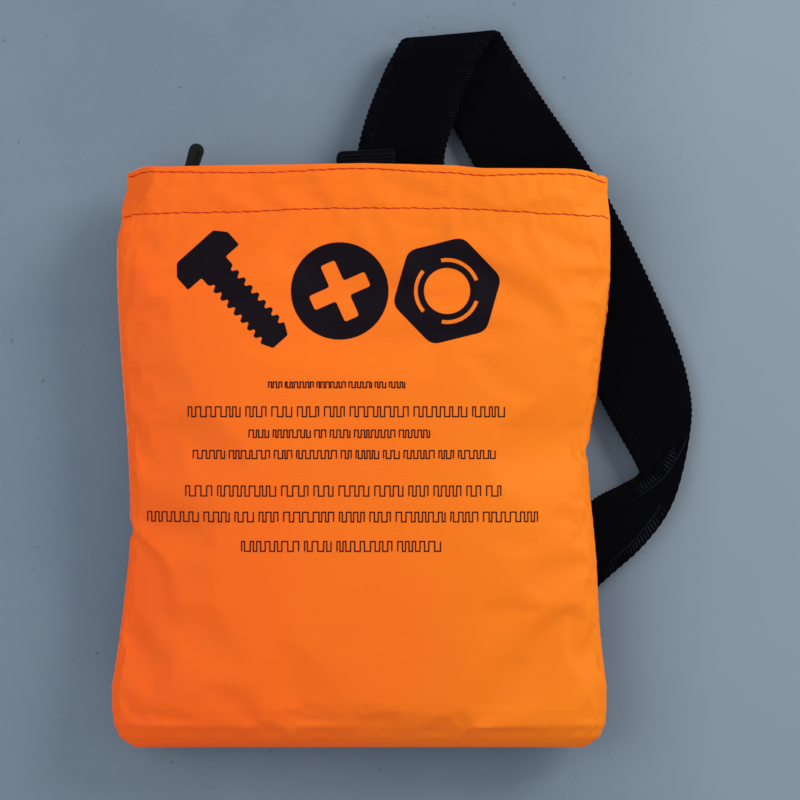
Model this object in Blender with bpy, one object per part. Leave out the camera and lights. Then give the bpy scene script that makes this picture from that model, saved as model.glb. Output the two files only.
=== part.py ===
"""Debris pouch: a zipped fabric pouch on a webbing strap with a side-release buckle.

Frame: +Z up, the front faces -Y, +X to the right as seen from the front. The origin is the middle
of the underside of the whole object's box. The shapes below are laid out from the back panel's
rear face and the middle of the pouch's bottom edge, which the frame empty sets in its place.
All sizes are in metres.
"""
import math

import bmesh
import bpy
import numpy as np
from mathutils import Vector

MM = 0.001

# ---- pouch -----------------------------------------------------------------------------------
FABRIC = 1.2 * MM                 # coated fabric with its seam turnings
GAP = 0.3 * MM                    # air kept between neighbours
MOUTH_DEPTH = 15.0 * MM
BELLY_DEPTH = 20.0 * MM
BELLY_AT = 0.38                   # height of the fullest point, as a share of the pouch
BELLY_SPREAD = 0.42               # how far up and down the fullness reaches
BOTTOM_ROUND = 0.085              # share of the height over which the bottom rounds off
BOTTOM_SQUARENESS = 2.4           # exponent of that rounding
MOUTH_SQUARENESS = 4.5            # superellipse exponents of the cross-section
BELLY_SQUARENESS = 2.8
SEAM_Y = -FABRIC - GAP            # where the front panel meets the back panel

# The sides pull in at mid height: (height, half width) up each side, and the wavy top edge.
LEFT_SIDE = [(0, 93), (3, 98.5), (9, 102.2), (22, 103.5), (42, 100.8), (66, 97.8), (92, 95.6),
             (127, 96.7), (160, 99.2), (205, 101.2), (226, 100), (241, 95.5)]
RIGHT_SIDE = [(0, 91), (3, 96.5), (9, 100.4), (22, 101.2), (48, 98.4), (80, 96.8), (124, 93.2),
              (143, 96.2), (166, 98.8), (205, 102.6), (226, 102.4), (241, 98.5)]
TOP_EDGE = [(-104, 236), (-95.5, 238), (-84, 239.8), (-30, 240.6), (16, 241.3), (35, 240.5),
            (49, 239.1), (83, 239.1), (95, 238), (104, 235.5)]
TOP_NOMINAL = 240.0

# ---- hem and zip -----------------------------------------------------------------------------
HEM_HEIGHT = 19.0 * MM
FACING = 0.8 * MM
THREAD = 0.7 * MM
STITCH_ROWS = {"hem_thread_upper": 3.0 * MM, "hem_thread_lower": 19.0 * MM}
BACK_FACING_HALF = 90.0 * MM
BACK_FACING_Z = (220.0 * MM, 236.0 * MM)
BINDING_INSET = 7.0               # mm from the side seam, and the binding's width
BINDING_THICK = 1.4 * MM
BINDING_HEIGHTS = (24, 212)
TAPE = 0.6 * MM
TAPE_FLANGE = 9.0 * MM
ZIP_Z = 221.0 * MM
ZIP_Y = -7.2 * MM                 # middle of the mouth
ZIP_HALF_LENGTH = 82.0 * MM
ROW_GAP = 0.7 * MM                # half the gap between the two rows of teeth
ROW_WIDTH = 1.9 * MM
ROW_HEIGHT = 1.6 * MM
TOOTH_PITCH = 4.0 * MM
TOOTH_LENGTH = 1.0 * MM
ROW_END = 4.0 * MM                # the rows stop short of the tapes' ends
STOP_HALF = Vector((1.2, 2.5, 0.9)) * MM
STOP_X = ZIP_HALF_LENGTH - 1.6 * MM
SLIDER_X = -74.5 * MM
SLIDER_LENGTH = 9.6 * MM
SLIDER_WIDTH = 7.0 * MM
SLIDER_PLATE = 1.0 * MM
SLIDER_FIN = 0.6 * MM
SLIDER_CLEARANCE = 0.45 * MM      # between the plates and the teeth
EYE_HEIGHT = 4.6 * MM             # the bridge's hole above the zip's plane
EYE_RADIUS = 1.25 * MM
RING_WIRE = 0.55 * MM
RING_REACH = 4.6 * MM             # between the wire's two straight runs
TAB_WIDTH = 6.2 * MM
TAB_THICK = 2.4 * MM
TAB_LENGTH = 20.2 * MM
TAB_FOOT = 2.3 * MM               # radius round the tab's hole
TAB_HOLE = 1.05 * MM
TAB_GROOVE = 0.9 * MM             # depth of the grip groove in the tab's face
RING_OVERHANG = 0.9 * MM          # from the tab's faces to the ring's wire
LEAN = math.radians(17)

# ---- webbing ---------------------------------------------------------------------------------
WEB = 1.6 * MM
STRAP_WIDTH = 40.0 * MM
LOOP_X = (-10.7 * MM, 13.8 * MM)
LOOP_Z = (196.0 * MM, 248.0 * MM)
LOOP_DEPTH = 3.3 * MM
PATCH = 0.5 * MM                  # thickness of a box of stitches
PATCH_RIM = 1.2 * MM
PATCH_X = (-1.0 * MM, 33.0 * MM)
PATCH_HEIGHT = 17.0 * MM
CHAPE_PATCH_X = (-90.0 * MM, -79.0 * MM)
CHAPE_PATCH_HALF = 15.0 * MM

# ---- buckle, lying flat on the pouch's back ------------------------------------------------
BUCKLE_Z = 50.0 * MM
BUCKLE_Y = (3.5 * MM, 16.5 * MM)
BUCKLE_MID_Y = 0.5 * (BUCKLE_Y[0] + BUCKLE_Y[1])
SOCKET_X = (-56.0 * MM, -8.0 * MM)
SOCKET_HEIGHT = 52.0 * MM
SOCKET_WALL = 2.4 * MM
PLUG_X = (-6.0 * MM, 24.0 * MM)
PLUG_HEIGHT = 50.0 * MM
BAR_HALF = 1.8 * MM               # the square bars that webbing wraps round
WRAP_RADIUS = BAR_HALF * math.sqrt(2) + GAP + WEB / 2
CHAPE_BAR_X = -51.5 * MM
STRAP_BAR_X = 17.0 * MM
ARM_PIVOT_X = -9.0 * MM
ARM_Z = 14.0 * MM                 # arm's centre line above and below the buckle's middle
ARM_LENGTH = 31.0 * MM
ARM_HALF_THICK = 3.6 * MM
ARM_HEAD = 11.0 * MM              # length of the part that fills the window
TONGUE_HALF = 2.6 * MM
KEEPER_X = 38.0 * MM
KEEPER_HALF = 6.0 * MM
KEEPER_Y = (4.0 * MM, 15.4 * MM)
KEEPER_Z = (24.0 * MM, 76.5 * MM)
KEEPER_WALL = 1.0 * MM

# From the pouch's own middle to the middle of the object's box, strap included.
LAYOUT_SHIFT = (-16.97 * MM, 1.75 * MM, 0.0)

for old in list(bpy.data.objects):
    bpy.data.objects.remove(old, do_unlink=True)

layout = bpy.data.objects.new("layout", None)
layout.location = LAYOUT_SHIFT
bpy.context.scene.collection.objects.link(layout)


# ---- materials -------------------------------------------------------------------------------

def material(name, colour, roughness, metallic=0.0):
    """A Principled material of one colour."""
    made = bpy.data.materials.new(name)
    made.use_nodes = True
    shader = made.node_tree.nodes["Principled BSDF"]
    shader.inputs["Base Color"].default_value = (*colour, 1.0)
    shader.inputs["Roughness"].default_value = roughness
    shader.inputs["Metallic"].default_value = metallic
    return made


ORANGE = (0.90, 0.16, 0.02)
RED = (0.45, 0.04, 0.02)
BLACK = (0.012, 0.012, 0.018)
DARK_METAL = (0.08, 0.08, 0.09)


def finish(name, mesh, colour, roughness, metallic=0.0, smooth=False):
    """Wrap a mesh as a named object with its own material."""
    if smooth:
        mesh.shade_smooth()
        mesh.set_sharp_from_angle(angle=math.radians(35))
    mesh.materials.append(material(name + "_material", colour, roughness, metallic))
    obj = bpy.data.objects.new(name, mesh)
    obj.parent = layout
    bpy.context.scene.collection.objects.link(obj)
    return obj


# ---- geometry helpers ------------------------------------------------------------------------

def smooth_line(points):
    """A function through the points, eased by a monotone cubic so that it never overshoots."""
    xs = np.array([p[0] for p in points], float)
    ys = np.array([p[1] for p in points], float)
    slopes = np.diff(ys) / np.diff(xs)
    knots = np.zeros(len(xs))
    knots[0] = slopes[0]
    knots[-1] = slopes[-1]
    for i in range(1, len(xs) - 1):
        before, after = slopes[i - 1], slopes[i]
        if before * after > 0:
            knots[i] = 2 * before * after / (before + after)

    def value(x):
        x = min(max(x, xs[0]), xs[-1])
        i = min(int(np.searchsorted(xs, x, side="right")) - 1, len(xs) - 2)
        step = xs[i + 1] - xs[i]
        u = (x - xs[i]) / step
        return float((2 * u**3 - 3 * u**2 + 1) * ys[i] + (u**3 - 2 * u**2 + u) * step * knots[i]
                     + (3 * u**2 - 2 * u**3) * ys[i + 1] + (u**3 - u**2) * step * knots[i + 1])

    return value


def smoothstep(low, high, x):
    u = min(max((x - low) / (high - low), 0.0), 1.0)
    return u * u * (3 - 2 * u)


def mesh_from(name, vertices, faces):
    """A mesh whose faces are turned to point outwards."""
    mesh = bpy.data.meshes.new(name)
    mesh.from_pydata([tuple(v) for v in vertices], [], faces)
    built = bmesh.new()
    built.from_mesh(mesh)
    bmesh.ops.recalc_face_normals(built, faces=built.faces)
    built.to_mesh(mesh)
    built.free()
    return mesh


def swept(name, sections, closed=False):
    """Join rings of points, all of one length, into a closed body."""
    count = len(sections[0])
    vertices = [point for section in sections for point in section]
    faces = []
    spans = len(sections) if closed else len(sections) - 1
    for i in range(spans):
        here = i * count
        there = ((i + 1) % len(sections)) * count
        for j in range(count):
            k = (j + 1) % count
            faces.append((here + j, here + k, there + k, there + j))
    if not closed:
        last = (len(sections) - 1) * count
        faces.append(tuple(range(count)))
        faces.append(tuple(last + j for j in range(count)))
    return mesh_from(name, vertices, faces)


def prism(name, outline, axis, low, high):
    """Extrude a 2-D outline along Y (outline in X, Z) or along Z (outline in X, Y)."""
    if axis == "Y":
        sections = [[(a, level, b) for a, b in outline] for level in (low, high)]
    else:
        sections = [[(a, b, level) for a, b in outline] for level in (low, high)]
    return swept(name, sections)


def box_mesh(name, low, high, bevel=0.0):
    """A box between two corners, its edges rounded off by a bmesh bevel."""
    mesh = bpy.data.meshes.new(name)
    built = bmesh.new()
    bmesh.ops.create_cube(built, size=1.0)
    size = Vector(high) - Vector(low)
    middle = (Vector(high) + Vector(low)) / 2
    bmesh.ops.scale(built, vec=size, verts=built.verts)
    bmesh.ops.translate(built, vec=middle, verts=built.verts)
    if bevel:
        bmesh.ops.bevel(built, geom=built.edges[:], offset=bevel, segments=2, profile=0.5,
                        affect="EDGES")
    built.to_mesh(mesh)
    built.free()
    return mesh


def tube_mesh(name, path, radius, closed=False, sides=8):
    """A round wire along a path of points."""
    sections = []
    count = len(path)
    for i, point in enumerate(path):
        ahead = path[(i + 1) % count] if closed or i + 1 < count else path[i]
        behind = path[i - 1] if closed or i > 0 else path[i]
        along = (Vector(ahead) - Vector(behind)).normalized()
        across = along.orthogonal().normalized() if i == 0 else across.copy()
        across = (across - along * across.dot(along)).normalized()
        other = along.cross(across)
        turns = [2 * math.pi * k / sides for k in range(sides)]
        sections.append([Vector(point) + radius * (math.cos(a) * across + math.sin(a) * other)
                         for a in turns])
    return swept(name, sections, closed)


def combine(target, operation, others):
    """Boolean each of the meshes into the target; the operands stay as hidden guides."""
    for i, mesh in enumerate(others):
        tool = bpy.data.objects.new(f"{target.name}_tool_{i}", mesh)
        tool.hide_render = True
        tool.display_type = "WIRE"
        tool.parent = target.parent
        tool.location = target.location
        tool.rotation_euler = target.rotation_euler
        bpy.context.scene.collection.objects.link(tool)
        change = target.modifiers.new(f"{operation.lower()}_{i}", "BOOLEAN")
        change.operation = operation
        change.solver = "EXACT"
        change.object = tool


def arc(centre, radius, start, end, steps):
    """Points on an arc in a plane; angles in degrees."""
    angles = [math.radians(start + (end - start) * i / steps) for i in range(steps + 1)]
    return [(centre[0] + radius * math.cos(a), centre[1] + radius * math.sin(a)) for a in angles]


def rounded_rectangle(x_range, z_range, radius, steps=3):
    (x0, x1), (z0, z1) = x_range, z_range
    corners = [((x1 - radius, z1 - radius), 0), ((x0 + radius, z1 - radius), 90),
               ((x0 + radius, z0 + radius), 180), ((x1 - radius, z0 + radius), 270)]
    return [p for centre, start in corners for p in arc(centre, radius, start, start + 90, steps)]


# ---- the pouch's form ------------------------------------------------------------------------

left_side = smooth_line(LEFT_SIDE)
right_side = smooth_line(RIGHT_SIDE)
top_edge = smooth_line(TOP_EDGE)


def depth_at(v):
    """Depth of the front panel from the back panel's rear face, at a share of the height."""
    fullness = math.exp(-((v - BELLY_AT) / BELLY_SPREAD) ** 2)
    edge = math.exp(-((1 - BELLY_AT) / BELLY_SPREAD) ** 2)
    full = MOUTH_DEPTH + (BELLY_DEPTH - MOUTH_DEPTH) * (fullness - edge) / (1 - edge)
    rise = min(v / BOTTOM_ROUND, 1.0)
    return full * (1 - (1 - rise) ** BOTTOM_SQUARENESS) ** (1 / BOTTOM_SQUARENESS)


def panel_point(turn, v):
    """A point on the front panel's outer face: turn runs 0..1 from the left seam to the right."""
    height = v * TOP_NOMINAL
    left, right = -left_side(height), right_side(height)
    square = BELLY_SQUARENESS
    square += (MOUTH_SQUARENESS - BELLY_SQUARENESS) * smoothstep(0.55, 0.92, v)
    angle = math.pi * (1 - turn)
    across = math.copysign(abs(math.cos(angle)) ** (2 / square), math.cos(angle))
    out = abs(math.sin(angle)) ** (2 / square)
    x = (left + right) / 2 + (right - left) / 2 * across
    z = v * top_edge(x)
    y = SEAM_Y - max(depth_at(v) + SEAM_Y, 0.0) * out
    return Vector((x * MM, y, z * MM))


def panel_normal(turn, v, step=0.004):
    a = panel_point(min(turn + step, 1), v) - panel_point(max(turn - step, 0), v)
    b = panel_point(turn, min(v + step, 1)) - panel_point(turn, max(v - step, 0))
    return a.cross(b).normalized()


def panel_offset(turn, v, distance):
    """A point off the panel's outer face; a negative distance goes into the pouch."""
    return panel_point(turn, v) + distance * panel_normal(turn, v)


def panel_strip(name, turns, levels, near, far):
    """A closed strip that follows the panel between two offsets."""
    sections = []
    for turn in turns:
        ring = [panel_offset(turn, v, near) for v in levels]
        ring += [panel_offset(turn, v, far) for v in reversed(levels)]
        sections.append(ring)
    return swept(name, sections)


def evenly(low, high, steps):
    return [low + (high - low) * i / steps for i in range(steps + 1)]


def offset_y(x, v, distance):
    """The depth at a given x of the surface that lies a distance off the panel's outer face."""
    low, high = 0.0, 1.0
    for _ in range(30):
        middle = (low + high) / 2
        if panel_offset(middle, v, distance).x < x:
            low = middle
        else:
            high = middle
    return panel_offset(low, v, distance).y


def inner_point(turn, v):
    """The fabric's inner face, kept in front of the back panel."""
    point = panel_offset(min(max(turn, 0.001), 0.999), max(v, 0.001), -FABRIC)
    point.y = min(point.y, SEAM_Y)
    return point


def make_front_panel():
    turns = evenly(0.0, 1.0, 30)
    levels = [0.0, 0.006, 0.02, 0.042, 0.07] + evenly(0.11, 1.0, 16)
    wide, high = len(turns), len(levels)
    vertices = [panel_point(turn, v) for v in levels for turn in turns]
    vertices += [inner_point(turn, v) for v in levels for turn in turns]
    inside = wide * high
    faces = []
    for r in range(high - 1):
        for c in range(wide - 1):
            a, b = r * wide + c, (r + 1) * wide + c
            faces.append((a, a + 1, b + 1, b))
            faces.append((inside + a, inside + b, inside + b + 1, inside + a + 1))
    rim = list(range(wide)) + [r * wide + wide - 1 for r in range(1, high)]
    rim += [(high - 1) * wide + c for c in range(wide - 2, -1, -1)]
    rim += [r * wide for r in range(high - 2, 0, -1)]
    for here, there in zip(rim, rim[1:] + rim[:1]):
        faces.append((here, inside + here, inside + there, there))
    mesh = mesh_from("front_panel", vertices, faces)
    return finish("front_panel", mesh, ORANGE, 0.6, smooth=True)


def make_back_panel():
    heights = [0, 3, 9] + evenly(22, 236, 12)
    left = [(-left_side(h) * MM, h * MM) for h in heights]
    right = [(right_side(h) * MM, h * MM) for h in reversed(heights)]
    top = [(x * MM, (top_edge(x) - 1) * MM) for x in evenly(-93, 96, 12)]
    return finish("back_panel", prism("back_panel", left + top + right, "Y", -FABRIC, 0.0),
                  ORANGE, 0.6)


def make_hem():
    low = 1 - HEM_HEIGHT / (TOP_NOMINAL * MM)
    turns = evenly(0.03, 0.97, 22)
    front = panel_strip("front_facing", turns, [low, 0.993], -FABRIC - GAP,
                        -FABRIC - GAP - FACING)
    finish("front_facing", front, ORANGE, 0.65)
    near = -FABRIC - GAP
    back = box_mesh("back_facing", (-BACK_FACING_HALF, near - FACING, BACK_FACING_Z[0]),
                    (BACK_FACING_HALF, near, BACK_FACING_Z[1]))
    finish("back_facing", back, ORANGE, 0.65)
    for name, drop in STITCH_ROWS.items():
        v = 1 - drop / (TOP_NOMINAL * MM)
        half = 0.5 * THREAD / (TOP_NOMINAL * MM)
        row = panel_strip(name, evenly(0.05, 0.95, 26), [v - half, v + half], GAP + THREAD, GAP)
        finish(name, row, RED, 0.7)


def make_seam_bindings():
    """Bound seam allowances inside the bag, one up each side."""
    rear = -FABRIC - GAP
    front = rear - BINDING_THICK
    for name, side, line in (("seam_binding_left", -1, left_side),
                             ("seam_binding_right", 1, right_side)):
        sections = []
        for height in evenly(*BINDING_HEIGHTS, 10):
            outer = side * (line(height) - BINDING_INSET) * MM
            inner = outer - side * BINDING_INSET * MM
            ring = ((outer, rear), (inner, rear), (inner, front), (outer, front))
            sections.append([(x, y, height * MM) for x, y in ring])
        finish(name, swept(name, sections), BLACK, 0.8)


# ---- zip -------------------------------------------------------------------------------------

def make_tapes():
    inset = FABRIC + FACING + 2.5 * GAP
    stations = evenly(-ZIP_HALF_LENGTH, ZIP_HALF_LENGTH, 20)
    web_low, web_high = ZIP_Z - TAPE / 2, ZIP_Z + TAPE / 2
    top = ZIP_Z + TAPE_FLANGE
    front_web = ZIP_Y - ROW_GAP - ROW_WIDTH - GAP
    back_web = ZIP_Y + ROW_GAP + ROW_WIDTH + GAP
    sections = []
    for x in stations:
        low_y = offset_y(x, web_low / (TOP_NOMINAL * MM), -inset)
        top_y = offset_y(x, top / (TOP_NOMINAL * MM), -inset)
        ring = [(top_y, top), (low_y, web_low), (front_web, web_low), (front_web, web_high),
                (low_y + TAPE, web_high), (top_y + TAPE, top)]
        sections.append([(x, a, b) for a, b in ring])
    finish("zip_tape_front", swept("zip_tape_front", sections), BLACK, 0.8)
    y = -FABRIC - FACING - 2 * GAP
    ring = [(y, top), (y, web_low), (back_web, web_low), (back_web, web_high),
            (y - TAPE, web_high), (y - TAPE, top)]
    sections = [[(x, a, b) for a, b in ring] for x in (stations[0], stations[-1])]
    finish("zip_tape_back", swept("zip_tape_back", sections), BLACK, 0.8)


def make_teeth(name, side, shift):
    """One row of teeth: a spine with a tooth at each pitch, as a single comb outline."""
    spine = ZIP_Y + side * (ROW_GAP + ROW_WIDTH)
    root = ZIP_Y + side * (ROW_GAP + TOOTH_LENGTH)
    tip = ZIP_Y + side * ROW_GAP
    start = -ZIP_HALF_LENGTH + ROW_END
    end = ZIP_HALF_LENGTH - ROW_END
    count = int((end - start - shift) / TOOTH_PITCH)
    outline = [(end, spine), (start, spine), (start, root)]
    for i in range(count):
        x = start + shift + i * TOOTH_PITCH + 0.6 * MM
        outline += [(x, root), (x, tip), (x + 0.45 * TOOTH_PITCH, tip),
                    (x + 0.45 * TOOTH_PITCH, root)]
    outline.append((end, root))
    mesh = prism(name, outline, "Z", ZIP_Z - ROW_HEIGHT / 2, ZIP_Z + ROW_HEIGHT / 2)
    finish(name, mesh, BLACK, 0.4)


def make_stops():
    for name, x in (("closing_stop", -STOP_X), ("opening_stop", STOP_X)):
        middle = Vector((x, ZIP_Y, ZIP_Z))
        block = box_mesh(name, middle - STOP_HALF, middle + STOP_HALF, 0.3 * MM)
        finish(name, block, DARK_METAL, 0.4, 0.8)


def make_slider():
    """Two plates round the teeth, joined by a fin between the rows, with a bridge on top."""
    half_x, half_y = SLIDER_LENGTH / 2, SLIDER_WIDTH / 2
    inner = ROW_HEIGHT / 2 + SLIDER_CLEARANCE
    outer = inner + SLIDER_PLATE
    outline = ([(half_x, -half_y * 0.72), (half_x, half_y * 0.72)]
               + arc((-half_x + half_y * 0.8, 0), half_y, 60, 300, 8))
    slider = finish("zip_slider", prism("zip_slider", outline, "Z", inner, outer),
                    DARK_METAL, 0.3, 0.7)
    lower = prism("slider_lower", outline, "Z", -outer, -inner)
    fin = box_mesh("slider_fin", (-half_x + 0.6 * MM, -SLIDER_FIN / 2, -outer + 0.2 * MM),
                   (-half_x + 3.4 * MM, SLIDER_FIN / 2, outer - 0.2 * MM))
    eye_radius = EYE_RADIUS + 1.0 * MM
    base = outer - 0.2 * MM
    arch = [(eye_radius, base)] + arc((0, EYE_HEIGHT), eye_radius, 0, 180, 10)
    arch.append((-eye_radius, base))
    bridge = prism("slider_bridge", arch, "Y", -0.8 * MM, 0.8 * MM)
    eye = prism("slider_eye", arc((0, EYE_HEIGHT), EYE_RADIUS, 0, 337.5, 15), "Y",
                -2 * MM, 2 * MM)
    slider.location = (SLIDER_X, ZIP_Y, ZIP_Z)
    combine(slider, "UNION", [lower, fin, bridge])
    combine_cut(slider, [eye])
    return slider


def combine_cut(target, meshes):
    """Cut the meshes out of the target."""
    for mesh in meshes:
        mesh.name = f"{mesh.name}_cut"
    combine(target, "DIFFERENCE", meshes)


def make_puller(slider):
    """A wire ring through the slider's eye, and a flat tab hanging on the ring."""
    half_y = TAB_THICK / 2 + RING_OVERHANG
    rise = RING_REACH
    flat = rounded_rectangle((-half_y, half_y), (0, rise), 1.0 * MM, 3)
    ring = finish("puller_ring", tube_mesh("puller_ring", [(0, y, z) for y, z in flat], RING_WIRE,
                                           closed=True), DARK_METAL, 0.3, 0.9, smooth=True)
    ring.parent = slider
    ring.location = (0, 0, EYE_HEIGHT)
    ring.rotation_euler = (0, LEAN, 0)
    half = TAB_WIDTH / 2
    outline = (arc((0, TAB_LENGTH - half), half, 0, 180, 10)
               + arc((0, 0), TAB_FOOT, 180, 360, 8))
    tab = finish("puller_tab", prism("puller_tab", outline, "Y", -TAB_THICK / 2, TAB_THICK / 2),
                 BLACK, 0.35, smooth=True)
    tab.parent = ring
    tab.location = (0, 0, rise)
    hole = prism("tab_hole", arc((0, 0), TAB_HOLE, 0, 330, 11), "Y", -3 * MM, 3 * MM)
    groove = box_mesh("tab_groove", (0.5 * MM, -3 * MM, TAB_LENGTH - 9.5 * MM),
                      (2.0 * MM, TAB_GROOVE - TAB_THICK / 2, TAB_LENGTH - 3.0 * MM))
    combine_cut(tab, [hole, groove])


# ---- webbing ---------------------------------------------------------------------------------

def ribbon(name, edges, thickness, steps=4):
    """A band between two edge lines, each eased through its key points (Catmull-Rom)."""
    a_line = eased([Vector(a) * MM for a, _ in edges], steps)
    b_line = eased([Vector(b) * MM for _, b in edges], steps)
    sections = []
    count = len(a_line)
    for i in range(count):
        before, after = max(i - 1, 0), min(i + 1, count - 1)
        along = (a_line[after] + b_line[after]) - (a_line[before] + b_line[before])
        across = b_line[i] - a_line[i]
        out = along.cross(across).normalized() * (thickness / 2)
        sections.append([a_line[i] - out, b_line[i] - out, b_line[i] + out, a_line[i] + out])
    return swept(name, sections)


def eased(points, steps):
    line = []
    for i in range(len(points) - 1):
        p0 = points[max(i - 1, 0)]
        p1, p2 = points[i], points[i + 1]
        p3 = points[min(i + 2, len(points) - 1)]
        for k in range(steps):
            u = k / steps
            line.append(0.5 * (2 * p1 + (p2 - p0) * u + (2 * p0 - 5 * p1 + 4 * p2 - p3) * u**2
                               + (3 * p1 - p0 - 3 * p2 + p3) * u**3))
    line.append(points[-1])
    return line


def strap_edges():
    """Both edges of the strap, in millimetres, from its sewn end to its free tail."""
    run = [((-4, 1.2, 150), (36, 1.2, 150)),            # sewn to the back panel
           ((-4, 1.2, 174), (36, 1.2, 174)),
           ((-4, 4.8, 194), (36, 4.8, 194)),            # over the hanging loop
           ((-3, 4.8, 238), (34, 4.8, 238)),
           ((0.5, 5.2, 258), (37.5, 5.2, 257)),         # above the hem, leaning right
           ((8, 6.0, 278), (46, 6.0, 280)),
           ((12.6, 6.4, 287), (51.5, 6.4, 290)),        # soft fold, rolling to the back
           ((16.8, 9.6, 293.5), (56.4, 9.6, 297)),
           ((21, 12.8, 287.5), (60.8, 12.8, 291.5)),
           ((26.5, 13.2, 277.5), (65.6, 13.2, 284)),
           ((37.2, 13.2, 258), (75.5, 13.2, 269)),
           ((64, 12.6, 208), (101, 12.6, 231)),
           ((91, 11.5, 158), (127, 12.6, 178)),         # down the right of the pouch
           ((104, 10.6, 134), (136.2, 12.4, 150)),
           ((113.6, 9.8, 117), (136.6, 12.0, 130)),     # the turn: a sharp inner corner
           ((114.2, 9.4, 112.8), (129.8, 11.0, 102)),
           ((107, 8.8, 108.6), (117.4, 9.4, 83.6)),
           ((95, 8.0, 102), (98, 8.2, 66)),             # back behind the pouch
           ((80, 7.2, 86.5), (81, 7.2, 47)),
           ((69, 6.6, 75), (70, 6.6, 35.5)),
           ((61, 6.4, 70.8), (61, 6.4, 30.8)),
           ((53, 6.35, 70), (53, 6.35, 30)),
           ((30, 6.35, 70), (30, 6.35, 30)),
           ((21, 6.35, 70), (21, 6.35, 30))]
    bar_y = BUCKLE_MID_Y / MM
    for x, y in arc((STRAP_BAR_X / MM, bar_y), WRAP_RADIUS / MM, -90, -270, 6):
        run.append(((x, y, 70), (x, y, 30)))
    for x, y in ((20, 13.5), (26, 13.1), (34, 12.8), (46, 12.6), (60, 12.6), (76, 12.6)):
        run.append(((x, y, 70), (x, y, 30)))      # free tail, outside the strap
    return run


def make_stitched_box(name, x_range, z_range, level):
    """A rectangle of stitches on the rear face of a webbing."""
    (x0, x1), (z0, z1) = x_range, z_range
    patch = finish(name, box_mesh(name, (x0, level, z0), (x1, level + PATCH, z1)), BLACK, 0.6)
    hole = box_mesh(name, (x0 + PATCH_RIM, level - MM, z0 + PATCH_RIM),
                    (x1 - PATCH_RIM, level + MM, z1 - PATCH_RIM))
    combine_cut(patch, [hole])


def make_strap():
    finish("strap", ribbon("strap", strap_edges(), WEB), BLACK, 0.75)
    for name, low, y in (("strap_stitching_lower", 153, 1.2), ("strap_stitching_upper", 212, 4.8)):
        make_stitched_box(name, PATCH_X, (low * MM, low * MM + PATCH_HEIGHT),
                          y * MM + WEB / 2 + GAP)


def make_hanging_loop():
    """Folded webbing, both legs sewn flat to the back; the fold stands above the hem."""
    low, high = GAP, GAP + LOOP_DEPTH
    middle = (low + high) / 2
    bend = LOOP_DEPTH / 2
    bottom, top = LOOP_Z
    outer = ([(low, bottom)] + [(middle - bend * math.cos(math.radians(a)),
                                 top - bend + bend * math.sin(math.radians(a)))
                                for a in range(0, 181, 30)] + [(high, bottom)])
    inner_bend = bend - WEB + 0.05 * MM
    inner = ([(middle + inner_bend, bottom)]
             + [(middle + inner_bend * math.cos(math.radians(a)),
                 top - bend + inner_bend * math.sin(math.radians(a)))
                for a in range(0, 181, 45)] + [(middle - inner_bend, bottom)])
    sections = [[(x, y, z) for y, z in outer + inner] for x in LOOP_X]
    finish("hanging_loop", swept("hanging_loop", sections), BLACK, 0.75)


def band_path(path, half):
    """Offset an open 2-D path to both sides, as the outline of a band."""
    near, far = [], []
    for i, point in enumerate(path):
        ahead, behind = path[min(i + 1, len(path) - 1)], path[max(i - 1, 0)]
        dx, dy = ahead[0] - behind[0], ahead[1] - behind[1]
        length = math.hypot(dx, dy)
        nx, ny = -dy / length * half, dx / length * half
        near.append((point[0] + nx, point[1] + ny))
        far.append((point[0] - nx, point[1] - ny))
    return near + far[::-1]


def make_chape():
    """Short webbing sewn to the back at the left, wrapped round the socket's bar."""
    inner, outer = GAP + WEB / 2, 2 * GAP + WEB * 1.5
    path = [(-91 * MM, inner), (-78 * MM, inner), (-68 * MM, inner), (-61 * MM, 3.2 * MM)]
    path += arc((CHAPE_BAR_X, BUCKLE_MID_Y), WRAP_RADIUS, -100, 120, 9)
    path += [(-58.5 * MM, 10.2 * MM), (-64 * MM, 5.4 * MM), (-71 * MM, outer + 0.4 * MM),
             (-78 * MM, outer), (-91 * MM, outer)]
    half = STRAP_WIDTH / 2 - 1 * MM
    mesh = prism("buckle_chape", band_path(path, WEB / 2), "Z", BUCKLE_Z - half, BUCKLE_Z + half)
    finish("buckle_chape", mesh, BLACK, 0.75)
    make_stitched_box("chape_stitching", CHAPE_PATCH_X,
                      (BUCKLE_Z - CHAPE_PATCH_HALF, BUCKLE_Z + CHAPE_PATCH_HALF),
                      outer + WEB / 2 + GAP)


# ---- buckle ----------------------------------------------------------------------------------

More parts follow.
